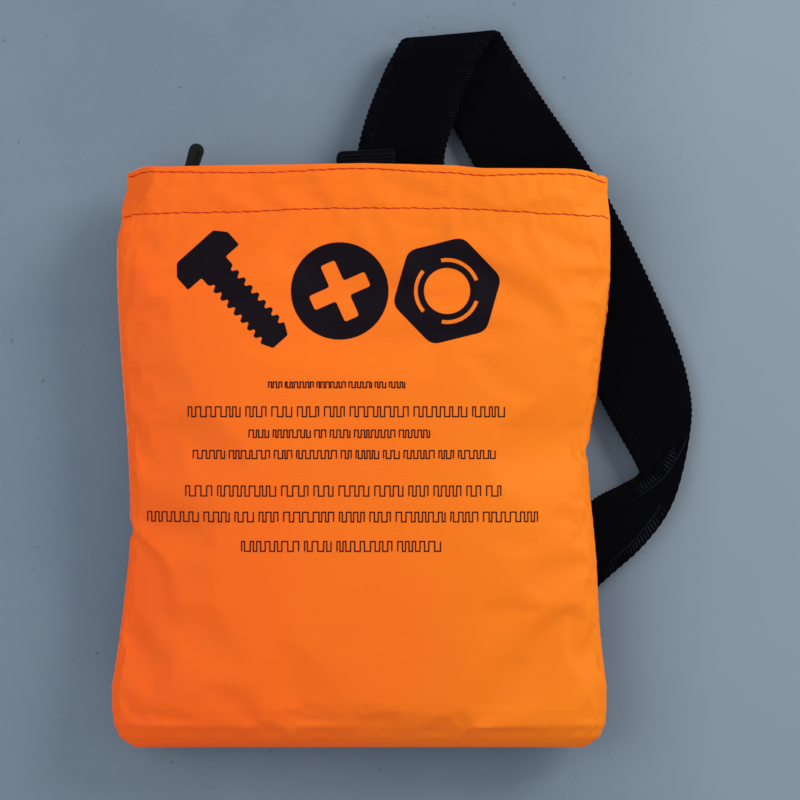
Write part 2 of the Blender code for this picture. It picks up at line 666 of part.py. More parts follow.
def make_socket():
    """A flat case open towards the plug, with a window in each edge and a bar for the chape."""
    (x0, x1), (y0, y1) = SOCKET_X, BUCKLE_Y
    half = SOCKET_HEIGHT / 2
    body = prism("buckle_socket", rounded_rectangle((x0, x1), (BUCKLE_Z - half, BUCKLE_Z + half),
                                                    5 * MM), "Y", y0, y1)
    socket = finish("buckle_socket", body, BLACK, 0.4)
    edge = half - 5 * MM
    cavity = box_mesh("cavity", (x0 + 14 * MM, y0 + SOCKET_WALL, BUCKLE_Z - edge),
                      (x1 + 5 * MM, y1 - SOCKET_WALL, BUCKLE_Z + edge))
    windows = box_mesh("windows", (x0 + 15 * MM, y0 + SOCKET_WALL, BUCKLE_Z - half - 5 * MM),
                       (x1 - 11 * MM, y1 - SOCKET_WALL, BUCKLE_Z + half + 5 * MM))
    slot_half = STRAP_WIDTH / 2 + 1 * MM
    slot = box_mesh("slot", (CHAPE_BAR_X + BAR_HALF, y0 - 5 * MM, BUCKLE_Z - slot_half),
                    (x0 + 11.5 * MM, y1 + 5 * MM, BUCKLE_Z + slot_half))
    lead = box_mesh("lead", (x0 - 5 * MM, y0 - 5 * MM, BUCKLE_Z - slot_half),
                    (CHAPE_BAR_X + BAR_HALF + MM, BUCKLE_MID_Y - BAR_HALF,
                     BUCKLE_Z + slot_half))
    tail = box_mesh("tail", (x0 - 5 * MM, BUCKLE_MID_Y + BAR_HALF, BUCKLE_Z - slot_half),
                    (CHAPE_BAR_X + BAR_HALF + MM, y1 + 5 * MM, BUCKLE_Z + slot_half))
    front = box_mesh("front", (x0 - 5 * MM, y0 - 5 * MM, BUCKLE_Z - slot_half),
                     (CHAPE_BAR_X - BAR_HALF, y1 + 5 * MM, BUCKLE_Z + slot_half))
    combine_cut(socket, [cavity, windows, slot, lead, tail, front])


def make_plug():
    """The plug's frame: an adjuster bar for the strap, and a tongue between the arms."""
    (x0, x1) = PLUG_X
    half = PLUG_HEIGHT / 2
    low, high = BUCKLE_Y[0] + 0.6 * MM, BUCKLE_Y[1] - 0.6 * MM
    body = prism("buckle_plug", rounded_rectangle((x0, x1), (BUCKLE_Z - half, BUCKLE_Z + half),
                                                  4 * MM), "Y", low, high)
    plug = finish("buckle_plug", body, BLACK, 0.4)
    tongue = box_mesh("tongue", (x0 - 24 * MM, BUCKLE_MID_Y - TONGUE_HALF, BUCKLE_Z - 5 * MM),
                      (x0 + 3 * MM, BUCKLE_MID_Y + TONGUE_HALF, BUCKLE_Z + 5 * MM), 0.8 * MM)
    slot_half = STRAP_WIDTH / 2 + 1 * MM
    inner_slot = box_mesh("inner_slot", (STRAP_BAR_X - BAR_HALF - 5.5 * MM, low - 5 * MM,
                                         BUCKLE_Z - slot_half),
                          (STRAP_BAR_X - BAR_HALF, high + 5 * MM, BUCKLE_Z + slot_half))
    beyond = x1 + 5 * MM
    near = box_mesh("near", (STRAP_BAR_X - BAR_HALF - 1 * MM, low - 5 * MM,
                             BUCKLE_Z - slot_half),
                    (beyond, BUCKLE_MID_Y - BAR_HALF, BUCKLE_Z + slot_half))
    far = box_mesh("far", (STRAP_BAR_X - BAR_HALF - 1 * MM, BUCKLE_MID_Y + BAR_HALF,
                           BUCKLE_Z - slot_half),
                   (beyond, high + 5 * MM, BUCKLE_Z + slot_half))
    outer = box_mesh("outer", (STRAP_BAR_X + BAR_HALF, low - 5 * MM, BUCKLE_Z - slot_half),
                     (beyond, high + 5 * MM, BUCKLE_Z + slot_half))
    combine(plug, "UNION", [tongue])
    combine_cut(plug, [inner_slot, near, far, outer])


def make_arm(name, side):
    """A latch arm: its root is by the plug, its head fills the socket's window."""
    tip = -ARM_LENGTH / MM
    neck = tip + ARM_HEAD / MM
    outline = [(0, -2.0), (0, 2.0), (-16, 2.6), (neck, 3.2), (neck, 10.2), (tip + 5, 11.4),
               (tip, 6.0), (tip, 0.4), (tip + 4, -1.6)]
    outline = [(x * MM, side * z * MM) for x, z in outline]
    mesh = prism(name, outline, "Y", -ARM_HALF_THICK, ARM_HALF_THICK)
    arm = finish(name, mesh, BLACK, 0.4)
    arm.location = (ARM_PIVOT_X, BUCKLE_MID_Y, BUCKLE_Z + side * ARM_Z)
    return arm


def make_keeper():
    """An elastic band round the strap and its tail."""
    x0, x1 = KEEPER_X - KEEPER_HALF, KEEPER_X + KEEPER_HALF
    (y0, y1), (z0, z1) = KEEPER_Y, KEEPER_Z
    name = "tail_keeper"
    keeper = finish(name, box_mesh(name, (x0, y0, z0), (x1, y1, z1), 0.6 * MM), BLACK, 0.85)
    hole = box_mesh(name, (x0 - 5 * MM, y0 + KEEPER_WALL, z0 + KEEPER_WALL),
                    (x1 + 5 * MM, y1 - KEEPER_WALL, z1 - KEEPER_WALL))
    combine_cut(keeper, [hole])


make_back_panel()
make_front_panel()
make_hem()
make_seam_bindings()
make_tapes()
make_teeth("zip_teeth_front", -1, 0.0)
make_teeth("zip_teeth_back", 1, TOOTH_PITCH / 2)
make_stops()
make_puller(make_slider())
make_hanging_loop()
make_strap()
make_chape()
make_socket()
make_plug()
make_arm("latch_arm_upper", 1)
make_arm("latch_arm_lower", -1)
make_keeper()
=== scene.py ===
"""Looks of the debris pouch: coated orange fabric, a zipped mouth, printed marks, black webbing
and a side-release buckle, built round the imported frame. Sizes are in metres; MM is one millimetre.
"""

from math import copysign, cos, exp, hypot, pi, radians, sin, sqrt
import random

import bmesh
import bpy
import numpy as np
from mathutils import Matrix, Vector, noise
from mathutils.bvhtree import BVHTree


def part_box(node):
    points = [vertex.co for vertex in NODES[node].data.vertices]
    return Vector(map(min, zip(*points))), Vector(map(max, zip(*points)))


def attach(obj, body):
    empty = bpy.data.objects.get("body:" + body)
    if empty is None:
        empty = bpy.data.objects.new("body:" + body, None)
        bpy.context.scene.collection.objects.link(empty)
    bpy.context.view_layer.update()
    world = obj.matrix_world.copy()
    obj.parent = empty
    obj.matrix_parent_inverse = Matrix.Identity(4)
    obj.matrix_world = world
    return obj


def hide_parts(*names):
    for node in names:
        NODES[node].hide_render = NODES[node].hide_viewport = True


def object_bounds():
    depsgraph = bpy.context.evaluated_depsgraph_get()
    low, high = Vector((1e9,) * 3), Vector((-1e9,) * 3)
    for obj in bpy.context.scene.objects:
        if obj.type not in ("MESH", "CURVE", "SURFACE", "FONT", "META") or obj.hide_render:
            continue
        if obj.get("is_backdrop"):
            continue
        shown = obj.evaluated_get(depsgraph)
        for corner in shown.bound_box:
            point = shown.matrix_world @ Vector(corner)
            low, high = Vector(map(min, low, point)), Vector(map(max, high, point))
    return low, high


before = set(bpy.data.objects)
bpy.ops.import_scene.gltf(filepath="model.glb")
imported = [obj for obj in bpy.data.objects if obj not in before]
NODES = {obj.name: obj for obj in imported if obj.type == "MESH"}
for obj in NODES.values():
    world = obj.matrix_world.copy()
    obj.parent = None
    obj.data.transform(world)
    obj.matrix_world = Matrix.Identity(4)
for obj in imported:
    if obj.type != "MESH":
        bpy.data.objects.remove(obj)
CAD_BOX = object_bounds()

MM = 0.001
SCENE = bpy.context.scene

# The frame's origin is the middle of the whole object's box. Everything here is laid out from the
# pouch's own middle and the back panel's rear face, and moved by SHIFT when a piece is placed.
LOOP_EDGE = -10.7 * MM
SHIFT = Vector((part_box("hanging_loop")[0].x - LOOP_EDGE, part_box("back_panel")[1].y, 0.0))


def box(node):
    """A node's lowest and highest corners, in the pouch's own layout."""
    low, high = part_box(node)
    return low - SHIFT, high - SHIFT


FRONT_LOW, FRONT_HIGH = box("front_panel")
SEAM_Y = FRONT_HIGH.y

# ---- fabric ----
HEIGHT = 0.24
BOTTOM = 0.3 * MM
CLOTH_THICK = 0.45 * MM
HEM_DROP = 17.0 * MM
STITCH_PITCH = 4.1 * MM
STITCH_RADIUS = 0.25 * MM
SEAM_INSET = 2.4 * MM
RIB_PITCH = 0.86 * MM

# ---- webbing ----
WEB = 1.6 * MM
WEB_HALF = 20 * MM
BAR_WRAP = 3.646 * MM
SCALLOP_PITCH = 2.5 * MM
RIB_BAND = 7.0 * MM
FUZZ = 0.4 * MM


# ---- Material graphs ----

class Graph:
    """A node material, written as nested calls."""

    def __init__(self, name):
        self.material = bpy.data.materials.new(name)
        self.material.use_nodes = True
        self.tree = self.material.node_tree
        self.shader = self.tree.nodes["Principled BSDF"]

    def put(self, socket, value):
        if isinstance(value, bpy.types.NodeSocket):
            self.tree.links.new(value, socket)
        elif isinstance(value, tuple) and socket.type == "RGBA":
            socket.default_value = (*value, 1.0)
        else:
            socket.default_value = value

    def fill(self, made, inputs):
        for key, value in inputs.items():
            self.put(made.inputs[key.replace("_", " ")], value)

    def node(self, kind, **inputs):
        made = self.tree.nodes.new("ShaderNode" + kind)
        self.fill(made, inputs)
        return made

    def math(self, operation, a, b=0.0):
        made = self.node("Math")
        made.operation = operation
        self.put(made.inputs[0], a)
        self.put(made.inputs[1], b)
        return made.outputs[0]

    def add(self, a, b):
        return self.math("ADD", a, b)

    def times(self, a, b):
        return self.math("MULTIPLY", a, b)

    def sine(self, value, pitch):
        return self.math("SINE", self.times(value, 2 * pi / pitch))

    def ribs(self, value, pitch):
        """The upper halves of a sine, with flat gaps between them."""
        return self.math("MAXIMUM", self.sine(value, pitch), 0.0)

    def coordinate(self, kind):
        found = self.node("TexCoord").outputs[kind]
        return self.node("SeparateXYZ", Vector=found).outputs[:]

    def place(self):
        """The point in the object's own metres, as x, y, z sockets."""
        x, y, z = self.coordinate("Object")
        return self.add(x, -SHIFT.x), y, z

    def uv(self):
        """Metres along and across a band, from its UV map."""
        return self.coordinate("UV")[:2]

    def noise(self, size, detail=3.0, rough=0.55, stretch=(1, 1, 1)):
        """Noise whose features are about `size` metres."""
        spot = self.node("Mapping", Vector=self.node("TexCoord").outputs["Object"], Scale=stretch)
        return self.node("TexNoise", Vector=spot.outputs[0], Scale=1.0 / size, Detail=detail,
                         Roughness=rough).outputs["Fac"]

    def ramp(self, value, low, high, to_low=0.0, to_high=1.0):
        return self.node("MapRange", Value=value, From_Min=low, From_Max=high, To_Min=to_low,
                         To_Max=to_high).outputs[0]

    def mix(self, share, a, b):
        made = self.node("Mix")
        made.data_type = "RGBA"
        for number, value in ((0, share), (6, a), (7, b)):
            self.put(made.inputs[number], value)
        return made.outputs[2]

    def ray(self, kind):
        return self.node("LightPath").outputs[f"Is {kind} Ray"]

    def bump(self, height, distance, strength):
        made = self.node("Bump", Height=height, Distance=distance, Strength=strength)
        self.fill(self.shader, {"Normal": made.outputs[0]})

    def surface(self, **inputs):
        self.fill(self.shader, inputs)
        return self.material


def orange_fabric():
    """Coated plain weave: fine ribs across, finer threads up, redder at the left with painted shade
    and yellower at the right with painted light.
    """
    g = Graph("orange_fabric")
    x, _, z = g.place()
    wobble = g.times(g.noise(9 * MM, 2.0), 0.5 * MM)
    ribs = g.sine(g.add(z, wobble), RIB_PITCH)
    threads = g.sine(x, 0.62 * MM)
    weave = g.add(g.times(ribs, 0.6), g.times(threads, 0.3))
    fine = g.noise(0.5 * MM, 2.0, 0.6, (1, 1, 3))
    # painted shade and light: a shaded red at the left, redder lower down, to a lit yellow-orange at
    # the right where the key light falls, blended with slow noise
    across = g.ramp(x, -0.10, 0.10)
    share = g.add(g.times(across, 0.8), g.times(g.noise(45 * MM), 0.4))
    left = g.mix(g.ramp(z, 0.02, 0.16), (0.86, 0.085, 0.010), (0.88, 0.120, 0.010))
    colour = g.mix(share, left, (0.80, 0.240, 0.008))
    # painted shade: the deepest troughs of the weave are darkened
    dark = g.mix(0.5, colour, (0.76, 0.06, 0.006))
    colour = g.mix(g.ramp(weave, -0.9, -0.2, 0.30, 0.0), colour, dark)
    g.bump(g.add(weave, g.times(fine, 0.8)), 0.05 * MM, 0.55)
    # the dye is fluorescent, shown as painted light: a camera-only emission of its own colour
    # brightens the cloth evenly, also in its shadows; diffuse bounces see a dim grey instead, so
    # what it throws on its surroundings stays weak and neutral
    colour = g.mix(g.ray("Diffuse"), colour, (0.10, 0.105, 0.13))
    return g.surface(Base_Color=colour, Roughness=g.ramp(fine, 0.2, 0.8, 0.48, 0.62),
                     Specular_IOR_Level=0.14, Emission_Color=(0.95, 0.075, 0.010),
                     Emission_Strength=g.times(g.ray("Camera"), 0.26))


def print_ink():
    """Screen-printed ink that lets the ribs of the weave show."""
    g = Graph("print_ink")
    ribs = g.sine(g.place()[2], RIB_PITCH)
    fleck = g.noise(0.35 * MM, 2.0)
    colour = g.mix(g.ramp(fleck, 0.35, 0.75), (0.0035, 0.0018, 0.0045), (0.011, 0.0055, 0.010))
    g.bump(g.add(g.times(ribs, 0.6), fleck), 0.04 * MM, 0.6)
    return g.surface(Base_Color=colour, Roughness=g.ramp(fleck, 0.2, 0.8, 0.6, 0.8),
                     Specular_IOR_Level=0.10)


def thread(name, dark, light, painted_glow=0.0):
    """Twisted sewing thread, which may carry painted light as a camera-only emission, like the
    cloth.
    """
    g = Graph(name)
    x, y, z = g.place()
    g.bump(g.sine(g.add(x, g.add(g.times(z, 1.7), y)), 0.45 * MM), 0.06 * MM, 0.8)
    return g.surface(Base_Color=g.mix(g.noise(6 * MM, 2.0), dark, light), Roughness=0.7,
                     Specular_IOR_Level=0.1, Emission_Color=(0.90, 0.03, 0.006),
                     Emission_Strength=g.times(g.ray("Camera"), painted_glow))


def webbing():
    """Ribbed webbing: smooth twill in the middle, dotted ribs along both edges, with painted
    highlights on the rib dots and the raised twill.
    """
    g = Graph("webbing")
    along, across = g.uv()
    from_edge = g.math("SUBTRACT", WEB_HALF, g.math("ABSOLUTE", across))
    edge = g.ramp(from_edge, RIB_BAND, RIB_BAND - 1.0 * MM)
    dots = g.times(g.ribs(along, 1.25 * MM), g.ribs(across, 1.3 * MM))
    twill = g.sine(g.add(along, g.times(across, 0.9)), 1.15 * MM)
    plain = g.add(g.times(twill, 0.25), g.times(g.sine(across, 0.7 * MM), 0.12))
    height = g.add(g.times(edge, g.times(dots, 1.6)), plain)
    height = g.add(height, g.times(g.noise(FUZZ, 2.0), 0.5))
    # painted highlight: the edge rib dots are lightened in patches, more on the run over the loop,
    # and the raised twill a little
    lit = g.times(edge, g.math("POWER", dots, 2.0))
    highlight_patches = g.ramp(g.noise(2.6 * MM, 2.0), 0.42, 0.66)
    upright_highlight = g.ramp(along, 0.16, 0.20, 1.0, 0.45)      # the run over the loop catches more light
    shown = g.times(g.times(lit, highlight_patches), upright_highlight)
    colour = g.mix(shown, (0.0009, 0.0009, 0.0022), (0.034, 0.036, 0.056))
    colour = g.mix(g.ramp(plain, 0.05, 0.40, 0.0, 0.5), colour, (0.0042, 0.0042, 0.0070))
    g.bump(height, 0.22 * MM, 0.75)
    return g.surface(Base_Color=colour, Roughness=0.85, Specular_IOR_Level=0.05)


def narrow_webbing():
    """Slanted dashes of a narrow plain webbing, with painted highlights on the raised dashes."""
    g = Graph("narrow_webbing")
    along, across = g.uv()
    lean = g.add(across, g.times(along, 0.45))
    dash = g.times(g.ribs(lean, 1.15 * MM), g.ribs(along, 1.5 * MM))
    g.bump(g.add(g.times(dash, 1.5), g.times(g.noise(FUZZ, 2.0), 0.4)), 0.2 * MM, 0.8)
    # painted highlight: the raised dashes are lightened
    colour = g.mix(g.math("POWER", dash, 1.6), (0.0008, 0.0008, 0.002), (0.030, 0.031, 0.046))
    return g.surface(Base_Color=colour, Roughness=0.8, Specular_IOR_Level=0.08)


def ribbed_selvedge():
    """The webbing's ribbed edge where it is turned towards the light: a bright cord and ribs."""
    g = Graph("ribbed_selvedge")
    along, across = g.uv()
    cord = g.times(g.ramp(across, 0.15 * MM, 0.35 * MM), g.ramp(across, 0.85 * MM, 0.6 * MM))
    band = g.times(g.ramp(across, 1.0 * MM, 1.7 * MM), g.ramp(across, 5.2 * MM, 3.6 * MM))
    ribs = g.times(g.math("POWER", g.ribs(along, 1.6 * MM), 1.5), band)
    patchy = g.ramp(g.noise(7 * MM, 2.0), 0.40, 0.62)
    lit = g.math("MAXIMUM", g.times(cord, 0.55), g.times(ribs, patchy))
    lit = g.times(lit, g.ramp(along, 0.026, 0.036, 1.0, 0.25))
    g.bump(g.add(g.add(ribs, cord), g.times(g.noise(FUZZ, 2.0), 0.4)), 0.25 * MM, 0.8)
    colour = g.mix(g.times(lit, 0.9), (0.0006, 0.0006, 0.0016), (0.022, 0.026, 0.044))
    return g.surface(Base_Color=colour, Roughness=0.85, Specular_IOR_Level=0.05)


def woven_tape(name, pitch):
    """Black woven tape for the zip, the binding and the elastic."""
    g = Graph(name)
    x, y, z = g.place()
    weave = g.times(g.sine(x, pitch), g.sine(g.add(z, y), pitch))
    g.bump(g.add(weave, g.noise(FUZZ, 2.0)), 0.12 * MM, 0.7)
    colour = g.mix(g.ramp(weave, -0.5, 1.0), (0.005, 0.005, 0.008), (0.022, 0.022, 0.03))
    return g.surface(Base_Color=colour, Roughness=0.78, Sheen_Weight=0.1)


def moulded_plastic(name, grey, rough, shine=0.35):
    """Moulded black plastic with a fine spark-eroded texture and lighter rubbed streaks in random
    places.
    """
    g = Graph(name)
    grain = g.noise(0.45 * MM, 3.0)
    scuff = g.ramp(g.noise(5 * MM, 4.0, 0.65, (1, 1, 4)), 0.55, 0.72)
    g.bump(grain, 0.05 * MM, 0.5)
    low = tuple(grey * k for k in (0.7, 0.7, 0.75))
    high = tuple(grey * k for k in (1.9, 1.9, 2.0))
    return g.surface(Base_Color=g.mix(scuff, low, high),
                     Roughness=g.ramp(grain, 0.3, 0.7, rough - 0.06, rough + 0.08),
                     Specular_IOR_Level=shine)


def plated_metal():
    """Black-plated die casting, brighter where the plating has rubbed."""
    g = Graph("plated_metal")
    patch = g.ramp(g.noise(2.2 * MM, 4.0, 0.7), 0.5, 0.7)
    g.bump(g.noise(0.3 * MM, 2.0), 0.03 * MM, 0.4)
    return g.surface(Base_Color=g.mix(patch, (0.018, 0.018, 0.02), (0.09, 0.09, 0.1)),
                     Metallic=0.85, Roughness=g.ramp(patch, 0.0, 1.0, 0.34, 0.24))


def pale_floor():
    """Sealed concrete, grey-blue, with a few dark specks, painted lighter towards the right, and
    clear from behind.
    """
    g = Graph("pale_floor")
    cloudy = g.noise(0.11, 4.0, 0.6)
    grain = g.noise(1.4 * MM, 3.0, 0.6)
    specks = g.ramp(g.noise(3.0 * MM, 1.0, 0.3), 0.775, 0.82)
    colour = g.mix(g.ramp(cloudy, 0.3, 0.7), (0.208, 0.268, 0.342), (0.252, 0.318, 0.392))
    colour = g.mix(g.ramp(grain, 0.2, 0.8, 0.0, 0.16), colour, (0.15, 0.18, 0.22))
    colour = g.mix(g.times(specks, 0.45), colour, (0.09, 0.11, 0.14))
    # painted light: the floor grows lighter towards the right, where the key light falls
    colour = g.mix(g.ramp(g.place()[0], 0.09, 0.15, 0.0, 0.8), colour, (0.300, 0.368, 0.440))
    g.bump(grain, 0.15 * MM, 0.25)
    g.surface(Base_Color=colour, Roughness=0.62, Specular_IOR_Level=0.3)
    choose = g.node("MixShader", Fac=g.node("NewGeometry").outputs["Backfacing"])
    g.put(choose.inputs[1], g.shader.outputs[0])
    g.put(choose.inputs[2], g.node("BsdfTransparent").outputs[0])
    g.put(g.tree.nodes["Material Output"].inputs["Surface"], choose.outputs[0])
    return g.material


FABRIC = orange_fabric()
INK = print_ink()
# the red thread carries painted light: a camera-only emission of strength 0.16
RED_THREAD = thread("red_thread", (0.50, 0.018, 0.008), (0.70, 0.035, 0.010), 0.16)
BLACK_THREAD = thread("black_thread", (0.010, 0.010, 0.013), (0.03, 0.03, 0.038))
WEBBING = webbing()
NARROW_WEBBING = narrow_webbing()
SELVEDGE = ribbed_selvedge()
TAPE_CLOTH = woven_tape("zip_tape_cloth", 0.8 * MM)
ELASTIC = woven_tape("elastic_cloth", 1.1 * MM)
ZIP_PLASTIC = moulded_plastic("zip_plastic", 0.012, 0.38)
PULLER_PLASTIC = moulded_plastic("puller_plastic", 0.004, 0.36, 0.22)
BUCKLE_PLASTIC = moulded_plastic("buckle_plastic", 0.012, 0.42)
METAL = plated_metal()


# ---- Mesh helpers ----

def added(name, data):
    """A new object in the scene."""
    obj = bpy.data.objects.new(name, data)
    SCENE.collection.objects.link(obj)
    return obj


def piece(name, shape, material, slot, *replaces, body="pouch", smooth=60):
    """Put a mesh, or vertices and faces, in the scene as one finished piece of the object."""
    mesh = shape if isinstance(shape, bpy.types.Mesh) else mesh_from(name, *shape)
    mesh.shade_smooth()
    mesh.set_sharp_from_angle(angle=radians(smooth))
    mesh.transform(Matrix.Translation(SHIFT))
    mesh.materials.append(material)
    obj = added(name, mesh)
    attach(obj, body)
    if replaces:
        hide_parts(*replaces)


def mesh_from(name, vertices, faces, outward=True):
    mesh = bpy.data.meshes.new(name)
    mesh.from_pydata([tuple(v) for v in vertices], [], faces)
    if outward:
        built = bmesh.new()
        built.from_mesh(mesh)
        bmesh.ops.recalc_face_normals(built, faces=built.faces)
        built.to_mesh(mesh)
        built.free()
    return mesh


def with_uvs(mesh, uvs):
    """Give each vertex its UV; the second face of a sheet repeats those of the first."""
    layer = mesh.uv_layers.new(name="metric")
    for loop in mesh.loops:
        layer.data[loop.index].uv = uvs[loop.vertex_index % len(uvs)]
    return mesh


def grid(rows, columns, point):
    """Rows of points over a unit square: point(s, v), s along a row and v from row to row."""
    return [[point(c / (columns - 1), r / (rows - 1)) for c in range(columns)]
            for r in range(rows)]


def grid_faces(rows, columns, wrap=False):
    """Quads over a grid of rows and columns; wrap joins the last column to the first."""
    spans = columns if wrap else columns - 1
    return [(r * columns + c, r * columns + (c + 1) % columns,
             (r + 1) * columns + (c + 1) % columns, (r + 1) * columns + c)
            for r in range(rows - 1) for c in range(spans)]


def joined(parts):
    """Several (vertices, faces) pairs as one."""
    vertices, faces = [], []
    for points, polygons in parts:
        start = len(vertices)
        vertices += list(points)
        faces += [tuple(i + start for i in polygon) for polygon in polygons]
    return vertices, faces


def sheet(front, back):
    """Close two matching grids (rows of points) into one thin sheet."""
    rows, columns = len(front), len(front[0])
    vertices = [p for row in front for p in row] + [p for row in back for p in row]
    half = rows * columns
    faces = grid_faces(rows, columns)
    faces += [tuple(half + i for i in reversed(face)) for face in grid_faces(rows, columns)]
    rim = list(range(columns)) + [r * columns + columns - 1 for r in range(1, rows)]
    rim += [(rows - 1) * columns + c for c in range(columns - 2, -1, -1)]
    rim += [r * columns for r in range(rows - 2, 0, -1)]
    faces += [(b, a, half + a, half + b) for a, b in zip(rim, rim[1:] + rim[:1])]
    return vertices, faces


def tube_faces(count, sides):
    """A tube's walls and its two ends."""
    ends = tuple(reversed(range(sides))), tuple((count - 1) * sides + k for k in range(sides))
    return [*grid_faces(count, sides, wrap=True), *ends]


def tube(path, radii):
    """A round wire along a path, with a radius for each point."""
    sides = 6
    rings, across = [], None
    for i, (point, radius) in enumerate(zip(path, radii)):
        along = (path[min(i + 1, len(path) - 1)] - path[max(i - 1, 0)]).normalized()
        across = along.orthogonal() if across is None else across - along * across.dot(along)
        across = across.normalized()
        other = along.cross(across)
        rings += [point + a * across + b * other
                  for a, b in arc(0, 0, radius, [360 * k / sides for k in range(sides)])]
    return rings, tube_faces(len(path), sides)


def stitch(path, radius):
    """One rounded stitch along a short path between two needle holes, proud in the middle."""
    steps = len(path) - 1
    return tube(path, [radius * max(sin(pi * (0.08 + 0.84 * i / steps)), 0.3) ** 0.6
                       for i in range(steps + 1)])


def arc(cx, cy, radius, degrees):
    """Points round a centre at the given angles."""
    return [(cx + radius * cos(radians(a)), cy + radius * sin(radians(a)))
            for a in degrees]


def round_corner(before, here, after, radius, steps):
    """A corner's points when it is rounded off."""
    before, here, after = Vector(before), Vector(here), Vector(after)
    reach = min(radius, (before - here).length * 0.45, (after - here).length * 0.45)
    a = here + (before - here).normalized() * reach
    b = here + (after - here).normalized() * reach
    return [a * (1 - t) ** 2 + here * 2 * t * (1 - t) + b * t**2
            for t in (k / steps for k in range(steps + 1))]


def smoothstep(low, high, x):
    u = min(max((x - low) / (high - low), 0.0), 1.0)
    return u * u * (3 - 2 * u)


def bell(x, centre, width):
    return exp(-((x - centre) / width) ** 2)


def eased(points, steps):
    """Points along a Catmull-Rom line through the given ones."""
    line = []
    for i in range(len(points) - 1):
        p0, p3 = points[max(i - 1, 0)], points[min(i + 2, len(points) - 1)]
        p1, p2 = points[i], points[i + 1]
        for k in range(steps):
            u = k / steps
            line.append(0.5 * (2 * p1 + (p2 - p0) * u + (2 * p0 - 5 * p1 + 4 * p2 - p3) * u**2
                               + (3 * p1 - p0 - 3 * p2 + p3) * u**3))
    line.append(points[-1])
    return line


# ---- The pouch's skin, read from the frame ----

PANEL = NODES["front_panel"].data
FRONT_TREE = BVHTree.FromPolygons([v.co - SHIFT for v in PANEL.vertices],
                                  [tuple(p.vertices) for p in PANEL.polygons])
FAR = 0.5


def cast(origin, direction):
    return FRONT_TREE.ray_cast(Vector(origin), Vector(direction))[0]


def side_x(z, side):
    """The panel's outermost x at a height, between its foot and its upper corner."""
    z = min(max(z, 0.4 * MM), 234 * MM)
    return cast((side * FAR, SEAM_Y - 0.2 * MM, z), (-side, 0, 0)).x


SIDE_TABLE = {side: [side_x(z * MM, side) for z in range(0, 242)] for side in (-1, 1)}


def side_at(z, side):
    """As side_x, from a table, with the small notch where the panel kinks."""
    level = min(max(z / MM, 0.0), 240.999)
    i = int(level)
    x = SIDE_TABLE[side][i] + (SIDE_TABLE[side][i + 1] - SIDE_TABLE[side][i]) * (level - i)
    if side < 0:
        return x + (1.4 * bell(z, 0.0910, 3.2 * MM) + 1.2 * bell(z, 0.2205, 5.5 * MM)) * MM
    return x - 1.5 * MM * bell(z, 0.1245, 3.5 * MM) + 1.9 * MM * smoothstep(0.220, 0.237, z)


TOP_LINE = sorted((v.co.x - SHIFT.x, v.co.z) for v in PANEL.vertices if v.co.z > 0.232)


def top_at(x):
    """Height of the mouth's front edge, just below the crown of its folded hem."""
    edge = float(np.interp(x, [p[0] for p in TOP_LINE], [p[1] for p in TOP_LINE]))
    corners = 0.9 * bell(x, -0.090, 5 * MM) - 0.7 * smoothstep(0.092, 0.101, x)
    return edge + (corners - 1.0) * MM


def panel_y(x, z):
    hit = cast((x, -FAR, z), (0, 1, 0))
    return hit.y if hit and hit.y < SEAM_Y else SEAM_Y


CORNER_SLOPE = 15 * MM


def skin_point(s, v):
    """A point of the front panel: s runs from the left seam to the right, v from the bottom up."""
    left, right = side_at(v * HEIGHT, -1), side_at(v * HEIGHT, 1)
    x = left + (right - left) * (0.5 - 0.5 * cos(pi * s))
    z = BOTTOM + v * (top_at(x) - BOTTOM)
    if s <= 0.0 or s >= 1.0 or v <= 0.0:
        return Vector((x, SEAM_Y, z))
    y = panel_y(min(max(x, left + 0.12 * MM), right - 0.12 * MM), min(z, top_at(x) - 0.3 * MM))
    # towards the top corners the panel comes down to the seam in a soft slope
    reach = min(x - left, right - x)
    flat = smoothstep(0.212, 0.230, z) * smoothstep(CORNER_SLOPE, 0.4 * CORNER_SLOPE, reach)
    if flat > 0.0:
        foot = left + CORNER_SLOPE if x - left < right - x else right - CORNER_SLOPE
        inside = panel_y(foot, min(z, top_at(foot) - 0.3 * MM))
        slope = SEAM_Y + (inside - SEAM_Y) * sin(0.5 * pi * reach / CORNER_SLOPE)
        y += (slope - y) * flat
    return Vector((x, y, z))


# The fold's line from the notch at the left, by height.
FOLD_Z = (0.0400, 0.0480, 0.0628, 0.0727, 0.0799, 0.0851, 0.0880, 0.0909, 0.0925)
FOLD_X = (-0.0784, -0.0785, -0.0790, -0.0808, -0.0840, -0.0893, -0.0922, -0.0950, -0.0965)


def creases(x, z):
    """Outward push of the folds that handling left in the panel."""
    push = 0.0
    # the soft step that runs in from the notch at the left: the cloth drops away on its outside
    reach = float(np.interp(z, FOLD_Z, FOLD_X)) - x
    width = 1.6 * MM + 6.0 * MM * smoothstep(0.091, 0.064, z)
    step = smoothstep(-0.5 * width, 0.5 * width, reach)
    fade = smoothstep(0.028, 0.060, z) * smoothstep(0.0950, 0.0890, z)
    push -= 1.7 * MM * step * fade
    push += 0.35 * MM * bell(reach, -0.8 * width, 0.5 * width) * fade
    # slanting ripples on the hem, and broad slow waves over the whole panel
    hem = smoothstep(0.212, 0.224, z)
    for centre, lean, width, height in ((-24, 0.9, 5, 0.7), (-13, 0.8, 4, -0.5), (9, 0.7, 5, 0.6),
                                        (58, -0.5, 7, 0.4), (-62, 0.4, 6, 0.4)):
        offset = x / MM - centre - lean * (z / MM - 230)
        push += hem * height * bell(offset, 0, width) * MM
    push += 0.6 * MM * noise.noise(Vector((x * 17, z * 13, 1.7)))
    push += 0.28 * MM * noise.noise(Vector((x * 45, z * 38, 4.1)))
    return push


